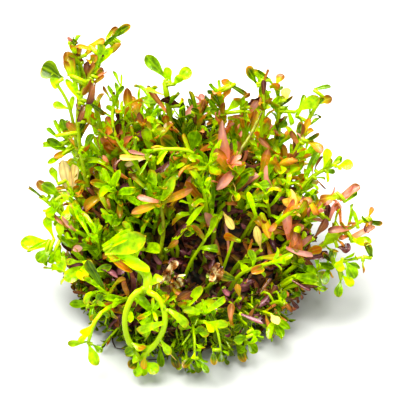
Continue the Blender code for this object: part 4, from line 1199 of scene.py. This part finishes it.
def places_on_shoots(stage):
    """Places along the single leaves that the longer shoots carry."""
    places = []
    for name in SHOOTS.keys() & MARKED_LEAVES.keys():
        frames = route_frames(LongerShoot(*SHOOTS[name]).route)
        for leaf in marked_leaves(name):
            _, depth, _ = nearest_place(stage, *leaf.foot, frames)
            places += leaf_places(stage, leaf, seen_point(stage, *leaf.foot, depth), depth)
    return places


def mound_leaves(foliage, stage, draw, thickness):
    """Grows the single leaves that the mound carries, and gives the places along them.

    Those with the same foot share one stem out of the mound.
    """
    places, feet = [], {}
    for leaf in marked_leaves("mound"):
        if leaf.foot not in feet:
            depth = mound_depth(stage, *leaf.foot) - BEFORE_SURFACE
            foot = seen_point(stage, *leaf.foot, depth)
            inner = Vector((foot.x * 0.8, foot.y * 0.8, max(foot.z - 10 * MM, 4 * MM)))
            middle = (inner + foot) / 2 + Vector((draw.uniform(-1, 1), draw.uniform(-1, 1), 1)) * MM
            radii = [MOUND_STEM_RADIUS] * 7
            hue = draw.uniform(0, 0.5)
            add_bare_stem(foliage, [inner, middle, foot], 5, radii, LONG_SIDES, hue, draw.random())
            feet[leaf.foot] = depth, foot
        depth, foot = feet[leaf.foot]
        depth = min(depth, mound_depth(stage, *leaf.tip) - BEFORE_SURFACE)
        add_marked_leaf(foliage, stage, leaf, foot, depth, draw, thickness)
        places += leaf_places(stage, leaf, foot, depth)
    return places


def marked_stems(foliage, draw):
    """Adds the bare stems and thread roots that stand out, each thinner at both ends."""
    last = 12
    for kind, age, radius, route in MARKED_STEMS:
        points = [Vector(point) * MM for point in route]
        radii = [radius * MM * min(0.35 + 0.4 * min(i, last - i), 1.0) for i in range(last + 1)]
        slot = STATES.index(kind) if kind in STATES else STEM
        add_bare_stem(foliage, points, 5, radii, LONG_SIDES, age, draw.random(), slot)


def mound_spots(spacing, trials, draw, depth):
    """Places all over the mound at least a spacing apart, each with its direction out."""
    places = np.empty((0, 3))
    spots = []
    for _ in range(trials):
        azimuth = draw.uniform(0, math.tau)
        rise = draw.uniform(0.02, 0.98)
        point = mound_point(azimuth, rise, depth)
        if len(places) and np.min(np.sum((places - np.array(point)) ** 2, axis=1)) < spacing**2:
            continue
        places = np.vstack((places, point))
        spots.append((point, mound_normal(azimuth, rise)))
    return spots


def from_middle(point, middle, size):
    """How far a point is from the middle of a patch of the slope, in its half sizes."""
    right, slope = point.x / MM, (point.y + point.z) / MM
    return math.hypot((right - middle[0]) / size[0], (slope - middle[1]) / size[1])


def family_of(point, draw):
    """The colours of a short shoot at a point, by the patches of the clump."""
    for family, *patch in PATCHES:
        if draw.random() < 1.3 - from_middle(point, patch[:2], patch[2:]):
            return family
    return pick(LIGHT_FAMILIES, draw)


def in_front(stage, places, point, room):
    """Whether a point lies close to one of the places, as the camera sees it, or hides it."""
    heading = view_heading(stage)
    for place in places:
        gap = point - place
        depth = gap.dot(heading)
        if -CLEAR_BEFORE < depth < CLEAR_BEHIND and (gap - heading * depth).length < room:
            return True
    return False


def short_shoot(foliage, spot, normal, shape, stage, draw, taken):
    """Grows a short shoot from inside the mound to a little beyond its surface, where there is room."""
    low = spot.z < LOW_SHOOTS
    hollow = not low and any(from_middle(spot, *hollow) < 1 for hollow in HOLLOWS)
    if hollow and draw.random() < HOLLOW_DROPS:
        return
    # All lean out of the mound. Low ones hang and the others rise
    wander = Vector((draw.uniform(-1, 1), draw.uniform(-1, 1), draw.uniform(-0.6, 0.6)))
    upward = -0.35 if low else 0.9
    heading = (normal * 0.8 + UP * upward + wander * 0.5).normalized()
    # Low ones stand out most at the front, from 13 to 21 mm before the middle
    frontal = ease((-spot.y / MM - 13) / 8)
    spread = 0.35 if hollow else 0.1 + 0.75 * frontal if low else 1
    beyond = shape.short_reach * draw.uniform(0.3, 1.8) * spread
    tip = spot + heading * beyond
    tip += (UP * (-0.9 if low else 0.4) + wander * 0.4) * beyond * 0.4
    waist = spot - heading * 5 * MM + wander * 0.8 * MM
    foot = waist * 0.85 - UP * 5 * MM
    foot.z = max(foot.z, 5 * MM)
    tip.z = max(tip.z, 2.5 * MM)
    if any(in_front(stage, taken, point, shape.short_room) for point in (tip, (spot + tip) / 2)):
        return
    frames = frames_along(smooth_route([foot, waist, spot, tip], 8), draw.uniform(0, math.tau))
    total = frames[-1][0]
    family = family_of(spot, draw)
    # Low shoots trade light greens for darker ones, partly their own colour, partly painted shade near the
    # floor
    if low and family in ("lime", "mixed", "yellow"):
        family = pick(LOW_GREENS_AND_SHADE, draw)
    if low:
        habit = draw.choice(LOW_HABITS)
        full = shape.short_leaf * draw.uniform(0.34, 0.55)
        gap, count = draw.uniform(1.4, 2.2) * MM, draw.choice(LOW_PAIRS)
    else:
        habit = pick(HIGH_HABITS, draw)
        full = shape.short_leaf * draw.uniform(0.65, 1.2)
        gap, count = draw.uniform(1.9, 3.3) * MM, draw.choice(HIGH_PAIRS)
    pairs = []
    for i in reversed(range(count)):
        place = total - BELOW_TIP - gap * i
        if place > LOWEST_PAIR:
            pairs.append((place, math.pi / 2 * (i % 2) + 0.4 * i, full * PAIR_SIZES[i], i / count))
    start = max(pairs[0][0] - 7 * MM, 0.0)
    radii = LOW_RADII if low else HIGH_RADII
    thickness = shape.leaf_thickness * 0.85
    grow_shoot(foliage, frames, start, pairs, radii, SHORT_SIDES, family, habit, draw, thickness)


def old_growth(foliage, shape, draw):
    """Fills the dark inside with bare old stems and wilted leaves that lie about on them."""
    for spot, normal in mound_spots(shape.old_spacing, shape.short_trials, draw, OLD_DEPTH):
        wander = Vector((draw.uniform(-1, 1), draw.uniform(-1, 1), draw.uniform(-1, 1)))
        if draw.random() < OLD_STEM_SHARE:
            foot = Vector((spot.x * 0.8, spot.y * 0.8, max(spot.z * 0.4, 5 * MM)))
            middle = (foot + spot) / 2 + wander * 2 * MM
            radius = draw.uniform(0.30, 0.55) * MM
            radii = [radius * (1 - 0.3 * i / 6) for i in range(7)]
            points = [foot, middle, spot + wander * 1.5 * MM]
            hue = draw.uniform(0.9, 1.6)
            add_bare_stem(foliage, points, 5, radii, OLD_SIDES, hue, draw.random())
        else:
            outward = (normal * draw.uniform(-0.3, 0.5) + wander).normalized()
            across = outward.orthogonal().normalized()
            across = Matrix.Rotation(draw.uniform(0, math.tau), 3, outward) @ across
            length = shape.short_leaf * draw.uniform(0.7, 1.2)
            tissue = ("wilted", draw.uniform(0.1, 1.0), 0.3 * draw.random())
            kind = draw.choice(("strap", "curled", "spoon"))
            foot = spot - outward * length / 2
            thickness = shape.leaf_thickness
            add_leaf(foliage, PLAIN_LEAF, foot, outward, across, length, kind, tissue, draw, thickness)


# Materials


def add_node(tree, kind, inputs=None, output=0, stops=(), **settings):
    """Adds a shader node with its settings, colour stops and sockets' values or links. Gives its output.

    A colour mix has its share at socket 0, its colours at 6 and 7, and its result at output 2.
    """
    made = tree.nodes.new("ShaderNode" + kind)
    for name, value in settings.items():
        setattr(made, name, value)
    for i, (place, colour) in enumerate(stops):
        element = made.color_ramp.elements[i] if i < 2 else made.color_ramp.elements.new(place)
        element.position = place
        element.color = colour
    for socket, value in (inputs or {}).items():
        if isinstance(value, bpy.types.NodeSocket):
            tree.links.new(value, made.inputs[socket])
        else:
            made.inputs[socket].default_value = value
    return made.outputs[output]


def blank_material(name):
    """A material with an empty node tree and its output's surface socket."""
    material = bpy.data.materials.new(name)
    material.use_nodes = True
    tree = material.node_tree
    tree.nodes.clear()
    return material, tree, tree.nodes.new("ShaderNodeOutputMaterial").inputs["Surface"]


def leaf_tissue(name, row, run, vein, edge, blush, roughness, glow, vein_strength):
    """A leaf's blade: a waxy skin over thin, light-passing tissue with a midrib and finer veins.

    The skin gives broad soft highlights, the tissue glows where light comes from behind, and the
    veins show as paler lines. The colour runs along a row of colours by the leaf's age, and moves
    along that row from foot to tip by the given run.
    """
    material, tree, surface = blank_material(name)
    hue, along, across, blushed, shade = (
        add_node(tree, "Attribute", output="Fac", attribute_name=title) for title in Foliage.VALUES
    )
    place = add_node(tree, "TexCoord", output="Object")
    # Blotches of about 1.5 mm
    blotch = add_node(tree, "TexNoise", {"Vector": place, "Scale": 700.0, "Detail": 3.0})
    drift = add_node(
        tree, "MapRange", {"Value": blotch, "To Min": -0.4 - 0.4 * run, "To Max": 0.4 - 0.4 * run}
    )
    drift = add_node(tree, "Math", {0: along, 1: run, 2: drift}, operation="MULTIPLY_ADD")
    mixed = add_node(tree, "Math", {0: hue, 1: drift}, operation="ADD")
    body = add_node(tree, "ValToRGB", {"Fac": mixed}, stops=row)
    # A blush that runs in from the tip and the margin
    off_middle = add_node(tree, "Math", {0: across}, operation="ABSOLUTE")
    reached = add_node(tree, "Math", {0: off_middle, 1: 0.3, 2: blushed}, operation="MULTIPLY_ADD")
    reached = add_node(tree, "Math", {0: blotch, 1: 0.5, 2: reached}, operation="MULTIPLY_ADD")
    from_tip = add_node(tree, "Math", {0: along, 1: reached}, operation="ADD")
    tip = add_node(tree, "MapRange", {"Value": from_tip, "From Min": 1.3, "From Max": 1.75})
    body = add_node(tree, "Mix", {0: tip, 6: body, 7: blush}, 2, data_type="RGBA")
    # A darker or paler edge. On fresh and reddened leaves the paler margin is partly their own colour
    # and partly painted glow of thin tissue lit from behind
    margin = add_node(tree, "Math", {0: off_middle, 1: 2.5}, operation="POWER")
    edge_tint_and_glow_share = add_node(tree, "Math", {0: margin, 1: 0.45}, operation="MULTIPLY")
    body = add_node(tree, "Mix", {0: edge_tint_and_glow_share, 6: body, 7: edge}, 2, data_type="RGBA")
    # The midrib, a tenth of the width, and side veins about 0.5 mm apart that run along the blade
    midrib = add_node(tree, "MapRange", {"Value": off_middle, "From Min": 0.16, "From Max": 0.04})
    slant = add_node(tree, "Math", {0: along, 1: -2.5}, operation="MULTIPLY")
    lines = add_node(tree, "Math", {0: off_middle, 1: 21.0, 2: slant}, operation="MULTIPLY_ADD")
    waves = add_node(tree, "Math", {0: lines}, operation="SINE")
    side_veins = add_node(
        tree, "MapRange", {"Value": waves, "From Min": 0.55, "From Max": 1.0, "To Max": 0.45}
    )
    veins = add_node(tree, "Math", {0: midrib, 1: side_veins}, operation="MAXIMUM")
    shown = add_node(tree, "Math", {0: veins, 1: vein_strength}, operation="MULTIPLY")
    body = add_node(tree, "Mix", {0: shown, 6: body, 7: vein}, 2, data_type="RGBA")
    # Darker and lighter leaves, and on them darker and lighter patches of about 1.5 mm
    brightness = add_node(tree, "MapRange", {"Value": shade, "To Min": 0.62, "To Max": 1.0})
    brightness = add_node(tree, "Math", {0: blotch, 1: 0.7, 2: brightness}, operation="MULTIPLY_ADD")
    body = add_node(tree, "HueSaturation", {"Value": brightness, "Color": body})
    # Cells and small dents of about 0.3 mm, drawn coarser than the real 0.05 mm so that they show
    dents = add_node(tree, "TexNoise", {"Vector": place, "Scale": 3200.0, "Detail": 2.0})
    relief = add_node(tree, "Math", {0: veins, 1: 0.5, 2: dents}, operation="MULTIPLY_ADD")
    bump = add_node(tree, "Bump", {"Height": relief, "Strength": 0.35, "Distance": 0.06 * MM})
    gloss = add_node(
        tree, "MapRange", {"Value": blotch, "To Min": roughness * 0.75, "To Max": roughness * 1.3}
    )
    skin = add_node(
        tree, "BsdfPrincipled", {"Base Color": body, "Roughness": gloss, "IOR": 1.45, "Normal": bump}
    )
    # Light that has passed through is brighter and a little yellower
    lit = add_node(tree, "HueSaturation", {"Hue": 0.49, "Value": 1.32, "Color": body})
    light = add_node(tree, "BsdfTranslucent", {"Color": lit, "Normal": bump})
    both = add_node(tree, "MixShader", {0: glow, 1: skin, 2: light})
    tree.links.new(both, surface)
    return material


def sodden_tissue(name, dark, amber, clear):
    """A leaf that has soaked through and gone glassy: clear amber folds with wet glints, partly
    painted as pale straw patches in its colour.
    """
    material, tree, surface = blank_material(name)
    place = add_node(tree, "TexCoord", output="Object")
    # Blotches of about 2 mm
    blotch = add_node(tree, "TexNoise", {"Vector": place, "Scale": 480.0, "Detail": 3.0})
    # Pale straw blotches beside the amber are partly painted glints on the wet folds
    body = add_node(tree, "ValToRGB", {"Fac": blotch}, stops=((0.36, dark), (0.6, clear), (0.47, amber)))
    bump = add_node(tree, "Bump", {"Height": blotch, "Strength": 0.5, "Distance": 0.3 * MM})
    skin = add_node(
        tree,
        "BsdfPrincipled",
        {"Base Color": body, "Roughness": 0.08, "IOR": 1.42, "Transmission Weight": 0.6, "Normal": bump},
    )
    tree.links.new(skin, surface)
    return material


def stem_skin(name, young, old, roughness, glow):
    """A stem's or root's smooth skin: fine lengthwise lines and slow changes from young to old colour."""
    material, tree, surface = blank_material(name)
    hue, _, across, _, shade = (
        add_node(tree, "Attribute", output="Fac", attribute_name=title) for title in Foliage.VALUES
    )
    place = add_node(tree, "TexCoord", output="Object")
    # Patches of about 2 mm
    patch = add_node(tree, "TexNoise", {"Vector": place, "Scale": 500.0, "Detail": 4.0})
    drift = add_node(tree, "Math", {0: patch, 1: 0.9, 2: -0.45}, operation="MULTIPLY_ADD")
    age = add_node(tree, "Math", {0: hue, 1: drift}, operation="ADD")
    body = add_node(tree, "ValToRGB", {"Fac": age}, stops=((0.55, young), (1.1, old)))
    brightness = add_node(tree, "MapRange", {"Value": shade, "To Min": 0.8, "To Max": 1.1})
    body = add_node(tree, "HueSaturation", {"Value": brightness, "Color": body})
    # Ribs along the stem, about six round it
    ribs = add_node(tree, "Math", {0: across, 1: 9.0}, operation="MULTIPLY")
    ribs = add_node(tree, "Math", {0: ribs}, operation="SINE")
    relief = add_node(tree, "Math", {0: ribs, 1: 0.3, 2: patch}, operation="MULTIPLY_ADD")
    bump = add_node(tree, "Bump", {"Height": relief, "Strength": 0.3, "Distance": 0.08 * MM})
    skin = add_node(
        tree, "BsdfPrincipled", {"Base Color": body, "Roughness": roughness, "IOR": 1.45, "Normal": bump}
    )
    light = add_node(tree, "BsdfTranslucent", {"Color": body, "Normal": bump})
    both = add_node(tree, "MixShader", {0: glow, 1: skin, 2: light})
    tree.links.new(both, surface)
    return material


def litter_mass(name, dark, lighter):
    """Old leaves and stems packed in the dark: damp, matted and nearly black, with browner flecks.

    That near-black is partly painted shade inside the clump. The root mat uses the same mass in its
    own colours.
    """
    material, tree, surface = blank_material(name)
    place = add_node(tree, "TexCoord", output="Object")
    # Flecks of about 2 mm
    flecks = add_node(tree, "TexNoise", {"Vector": place, "Scale": 450.0, "Detail": 5.0})
    # Nearly black on the litter heap: partly old litter, partly painted shade inside the clump
    body = add_node(tree, "ValToRGB", {"Fac": flecks}, stops=((0.45, dark), (0.75, lighter)))
    bump = add_node(tree, "Bump", {"Height": flecks, "Strength": 0.8, "Distance": 0.5 * MM})
    skin = add_node(
        tree, "BsdfPrincipled", {"Base Color": body, "Roughness": 0.5, "IOR": 1.4, "Normal": bump}
    )
    tree.links.new(skin, surface)
    return material


def paper(name, colour):
    """White paper without any gloss, so that it shows soft shadows and no reflections."""
    material, tree, surface = blank_material(name)
    tree.links.new(add_node(tree, "BsdfPrincipled", {"Base Color": colour, "Roughness": 0.9}), surface)
    return material


def plant_materials():
    """The materials of leaves in their five states and of stems, made once."""
    c = bpy.context.scene.rotala_colours
    young, red = c.yellow_lime, c.red_brown
    fresh = ((0.0, c.deep_green), (0.38, c.leaf_green), (0.72, c.lime), (1.0, young))
    reddened = ((0.0, c.lime), (0.2, c.olive), (0.45, c.orange), (0.75, c.salmon), (1.0, c.mauve))
    wilted = ((0.0, c.wilted_olive), (0.4, red), (0.75, c.maroon), (1.0, c.plum))
    dry = ((0.2, c.straw), (0.8, c.cream))
    made = [bpy.data.materials.get(f"{state}_leaf_tissue") for state in STATES]
    if None in made:
        made = [
            # The fresh leaves' yellow-lime edge and the reddened leaves' orange edge are partly painted glow
            # of margins lit from behind
            leaf_tissue("fresh_leaf_tissue", fresh, -0.3, young, young, c.tip, 0.13, 0.62, 0.35),
            leaf_tissue("reddened_leaf_tissue", reddened, 0.5, c.cream, c.orange, red, 0.14, 0.58, 0.18),
            leaf_tissue("wilted_leaf_tissue", wilted, 0.3, c.salmon, c.maroon, c.maroon, 0.14, 0.3, 0.15),
            leaf_tissue("dry_leaf_tissue", dry, 0.0, c.straw_vein, c.straw_vein, red, 0.50, 0.5, 0.4),
            sodden_tissue("sodden_leaf_tissue", c.maroon, c.tip, c.straw),
        ]
    skin = bpy.data.materials.get("stem_skin") or stem_skin("stem_skin", c.stem, c.old_stem, 0.2, 0.4)
    return [*made, skin]


# Pieces


class ROTALA_OT_longer_shoots(bpy.types.Operator):
    """Grow the longer shoots, each over its solid"""

    bl_idname = "rotala.longer_shoots"
    bl_label = "Longer Shoots"

    def execute(self, context):
        materials = plant_materials()
        shape, stage = context.scene.rotala_shape, context.scene.rotala_stage
        for index, (name, row) in enumerate(SHOOTS.items()):
            long_shoot(name, LongerShoot(*row), index, shape, stage, materials)
        return {"FINISHED"}


class ROTALA_OT_undergrowth(bpy.types.Operator):
    """Grow single leaves out of the mound, its short shoots in four parts, and old growth inside"""

    bl_idname = "rotala.undergrowth"
    bl_label = "Undergrowth"

    def execute(self, context):
        shape, stage = context.scene.rotala_shape, context.scene.rotala_stage
        materials = plant_materials()
        draw = random.Random(SEED)
        single = Foliage()
        taken = places_on_shoots(stage) + mound_leaves(single, stage, draw, shape.leaf_thickness)
        marked_stems(single, draw)
        single.make("single_leaves", materials, "undergrowth", "undergrowth")
        spots = mound_spots(shape.short_spacing, shape.short_trials, draw, shape.short_depth)
        fringe = mound_spots(shape.fringe_spacing, shape.short_trials, draw, FRINGE_DEPTH)
        spots += [(spot, normal) for spot, normal in fringe if spot.z < FRINGE_TOP]
        parts = {name: Foliage() for name in ("front", "right", "back", "left")}
        quarters = tuple(parts.values())
        for spot, normal in spots:
            # Quarters of the way round, from the front's left end
            quarter = int((math.atan2(spot.y, spot.x) / math.tau + 1.375) * 4) % 4
            short_shoot(quarters[quarter], spot, normal, shape, stage, draw, taken)
        for name, foliage in parts.items():
            foliage.make("undergrowth_" + name, materials, "undergrowth", "undergrowth")
        old = Foliage()
        old_growth(old, shape, draw)
        old.make("old_growth", materials, "undergrowth", "undergrowth")
        return {"FINISHED"}


class ROTALA_OT_litter(bpy.types.Operator):
    """Heap up the old leaves and stems inside the undergrowth, nearly black, partly as painted shade"""

    bl_idname = "rotala.litter"
    bl_label = "Litter"

    segments = 96
    rows = 48
    floor_share = 0.2

    def execute(self, context):
        depth = context.scene.rotala_shape.litter_depth
        bm = bmesh.new()
        bmesh.ops.create_uvsphere(bm, u_segments=self.segments, v_segments=self.rows, radius=1)
        for vert in bm.verts:
            rise = math.acos(max(min(-vert.co.z, 1), -1)) / math.pi
            azimuth = math.atan2(vert.co.y, vert.co.x)
            if rise < self.floor_share:
                out = rise / self.floor_share
                vert.co = mound_point(azimuth, 0.0, depth) * out
                vert.co.z = SKIRT_HEIGHT + (MAT_HEIGHT - SKIRT_HEIGHT) * (1 - out)
            else:
                up = (rise - self.floor_share) / (1 - self.floor_share)
                vert.co = mound_point(azimuth, up, depth)
                bumps = noise.noise(vert.co / (2.2 * MM)) + 0.5 * noise.noise(vert.co / (0.9 * MM))
                vert.co += mound_normal(azimuth, max(up, 0.02)) * bumps * 1.3 * MM
        bmesh.ops.recalc_face_normals(bm, faces=bm.faces)
        mesh = bpy.data.meshes.new("litter_heap_painted_shade")
        bm.to_mesh(mesh)
        bm.free()
        mesh.shade_smooth()
        c = context.scene.rotala_colours
        # The heap's nearly black colour is partly painted shade deep inside the clump
        mesh.materials.append(litter_mass("matted_litter_painted_shade", c.litter, c.red_brown))
        add_piece(mesh, "undergrowth")
        return {"FINISHED"}


def root_points(loose, azimuth, height, radius, draw):
    """The points of a root that lies in the mat's side, or that hangs loose out of it to the floor."""
    points = []
    sweep = draw.uniform(0.15, 0.5) * draw.choice((-1, 1))
    for k in range(4):
        out = LOOSE_ROOT_OUT[k] if loose else draw.uniform(-0.3, 0.5)
        turn = azimuth + sweep * k / (4 if loose else 3)
        level = height + draw.uniform(-1.0, 1.0) * MM
        if loose:
            level = (height, height * 0.8, 1.2 * MM, 0.6 * MM)[k]
        radial = MAT_RADIUS + out * MM
        points.append(Vector((radial * math.cos(turn), radial * math.sin(turn), max(level, radius * 1.2))))
    return points


def root_threads(count, draw):
    """Thread-like roots all round the mat. The first ones are loose, and thicker."""
    foliage = Foliage()
    for i in range(count):
        loose = i < LOOSE_ROOTS
        azimuth = draw.uniform(0, math.tau)
        height = draw.uniform(*((0.8, 3) if loose else (0.6, 6.5))) * MM
        radius = draw.uniform(*((0.25, 0.42) if loose else (0.16, 0.32))) * MM
        points = root_points(loose, azimuth, height, radius, draw)
        radii = [radius * (1 - 0.6 * k / 9) for k in range(10)]
        hue = draw.uniform(0, 0.55)
        add_bare_stem(foliage, points, 6, radii, SHORT_SIDES, hue, draw.random(), 0)
    return foliage


def felted_mat():
    """The mat of roots: a flat disc with an uneven edge."""
    bm = bmesh.new()
    bmesh.ops.create_cone(
        bm, cap_ends=True, segments=120, radius1=MAT_RADIUS, radius2=MAT_RADIUS, depth=MAT_HEIGHT
    )
    bmesh.ops.subdivide_edges(bm, edges=[e for e in bm.edges if e.calc_length() > 2 * MM], cuts=7)
    for vert in bm.verts:
        vert.co.z += MAT_HEIGHT / 2
        if math.hypot(vert.co.x, vert.co.y) > MAT_RADIUS * 0.9:
            vert.co.xy *= 1 + noise.noise(vert.co / (2.5 * MM)) * 0.8 * MM / MAT_RADIUS
    mesh = bpy.data.meshes.new("felted_root_mat")
    bm.to_mesh(mesh)
    bm.free()
    mesh.shade_smooth()
    mesh.set_sharp_from_angle(angle=math.radians(50))
    return mesh


class ROTALA_OT_roots(bpy.types.Operator):
    """Make the felted root mat and the loose roots round its foot"""

    bl_idname = "rotala.roots"
    bl_label = "Roots"

    def execute(self, context):
        c = context.scene.rotala_colours
        skin = stem_skin("root_skin", c.root, c.pale_root, 0.45, 0.1)
        threads = root_threads(context.scene.rotala_shape.thread_count, random.Random(SEED + 1))
        threads.make("root_threads", [skin], "roots", "root_mat")
        mesh = felted_mat()
        mesh.materials.append(litter_mass("felted_roots", c.root, c.pale_root))
        add_piece(mesh, "root_mat")
        return {"FINISHED"}


def add_lamp(name, width, power, place, middle):
    """Adds a round soft lamp at a place beside the middle of the picture, turned to that middle."""
    light = bpy.data.lights.new(name, "AREA")
    light.shape = "DISK"
    light.size = width
    light.energy = power
    lamp = bpy.data.objects.new(name, light)
    lamp.location = middle + place
    lamp.rotation_euler = (middle - lamp.location).to_track_quat("-Z", "Y").to_euler()
    bpy.context.scene.collection.objects.link(lamp)


class ROTALA_OT_stage(bpy.types.Operator):
    """Set the floor, the light and the camera"""

    bl_idname = "rotala.stage"
    bl_label = "Stage"

    def execute(self, context):
        stage = context.scene.rotala_stage
        middle = Vector(stage.middle)
        bpy.ops.mesh.primitive_plane_add(size=4.0)
        floor = context.object
        floor.name = "paper_floor"
        floor.data.materials.append(paper("matt_white_paper", stage.floor))

        world = bpy.data.worlds.new("soft_room")
        world.use_nodes = True
        background = world.node_tree.nodes["Background"]
        background.inputs["Color"].default_value = (1, 1, 1, 1)
        background.inputs["Strength"].default_value = stage.sky
        context.scene.world = world

        add_lamp("key", stage.key_width, stage.key_power, KEY_PLACE, middle)
        add_lamp("fill", stage.fill_width, stage.fill_power, FILL_PLACE, middle)

        data = bpy.data.cameras.new("camera")
        data.sensor_width = SENSOR_WIDTH
        data.lens = SENSOR_WIDTH * stage.camera_distance / stage.frame_width
        data.clip_start = 0.01
        camera = bpy.data.objects.new("camera", data)
        heading = view_heading(stage)
        camera.location = middle - heading * stage.camera_distance
        camera.rotation_euler = heading.to_track_quat("-Z", "Y").to_euler()
        context.scene.collection.objects.link(camera)
        context.scene.camera = camera
        context.scene.view_settings.view_transform = "Standard"
        context.scene.view_settings.look = "Medium High Contrast"
        return {"FINISHED"}


class ROTALA_PT_clump(bpy.types.Panel):
    """The steps that make the clump, and its sizes and colours"""

    bl_label = "Dwarf Rotala"
    bl_idname = "ROTALA_PT_clump"
    bl_space_type = "VIEW_3D"
    bl_region_type = "UI"
    bl_category = "Rotala"

    def draw(self, context):
        for operator in OPERATORS:
            self.layout.operator(operator.bl_idname)
        for group in GROUPS:
            settings = getattr(context.scene, GROUPS[group])
            box = self.layout.box()
            for title in group.__annotations__:
                box.prop(settings, title)


OPERATORS = (
    ROTALA_OT_roots,
    ROTALA_OT_litter,
    ROTALA_OT_undergrowth,
    ROTALA_OT_longer_shoots,
    ROTALA_OT_stage,
)
GROUPS = {RotalaShape: "rotala_shape", RotalaColours: "rotala_colours", RotalaStage: "rotala_stage"}
CLASSES = (*GROUPS, *OPERATORS, ROTALA_PT_clump)


def register():
    """Adds the classes and their settings to Blender."""
    for cls in CLASSES:
        bpy.utils.register_class(cls)
    for group, title in GROUPS.items():
        setattr(bpy.types.Scene, title, PointerProperty(type=group))


def unregister():
    """Takes the classes and their settings out of Blender."""
    for title in GROUPS.values():
        delattr(bpy.types.Scene, title)
    for cls in reversed(CLASSES):
        bpy.utils.unregister_class(cls)


def main():
    """Makes the clump and its stage."""
    register()
    bpy.ops.rotala.roots()
    bpy.ops.rotala.litter()
    bpy.ops.rotala.undergrowth()
    bpy.ops.rotala.longer_shoots()
    bpy.ops.rotala.stage()


if __name__ == "__main__":
    main()
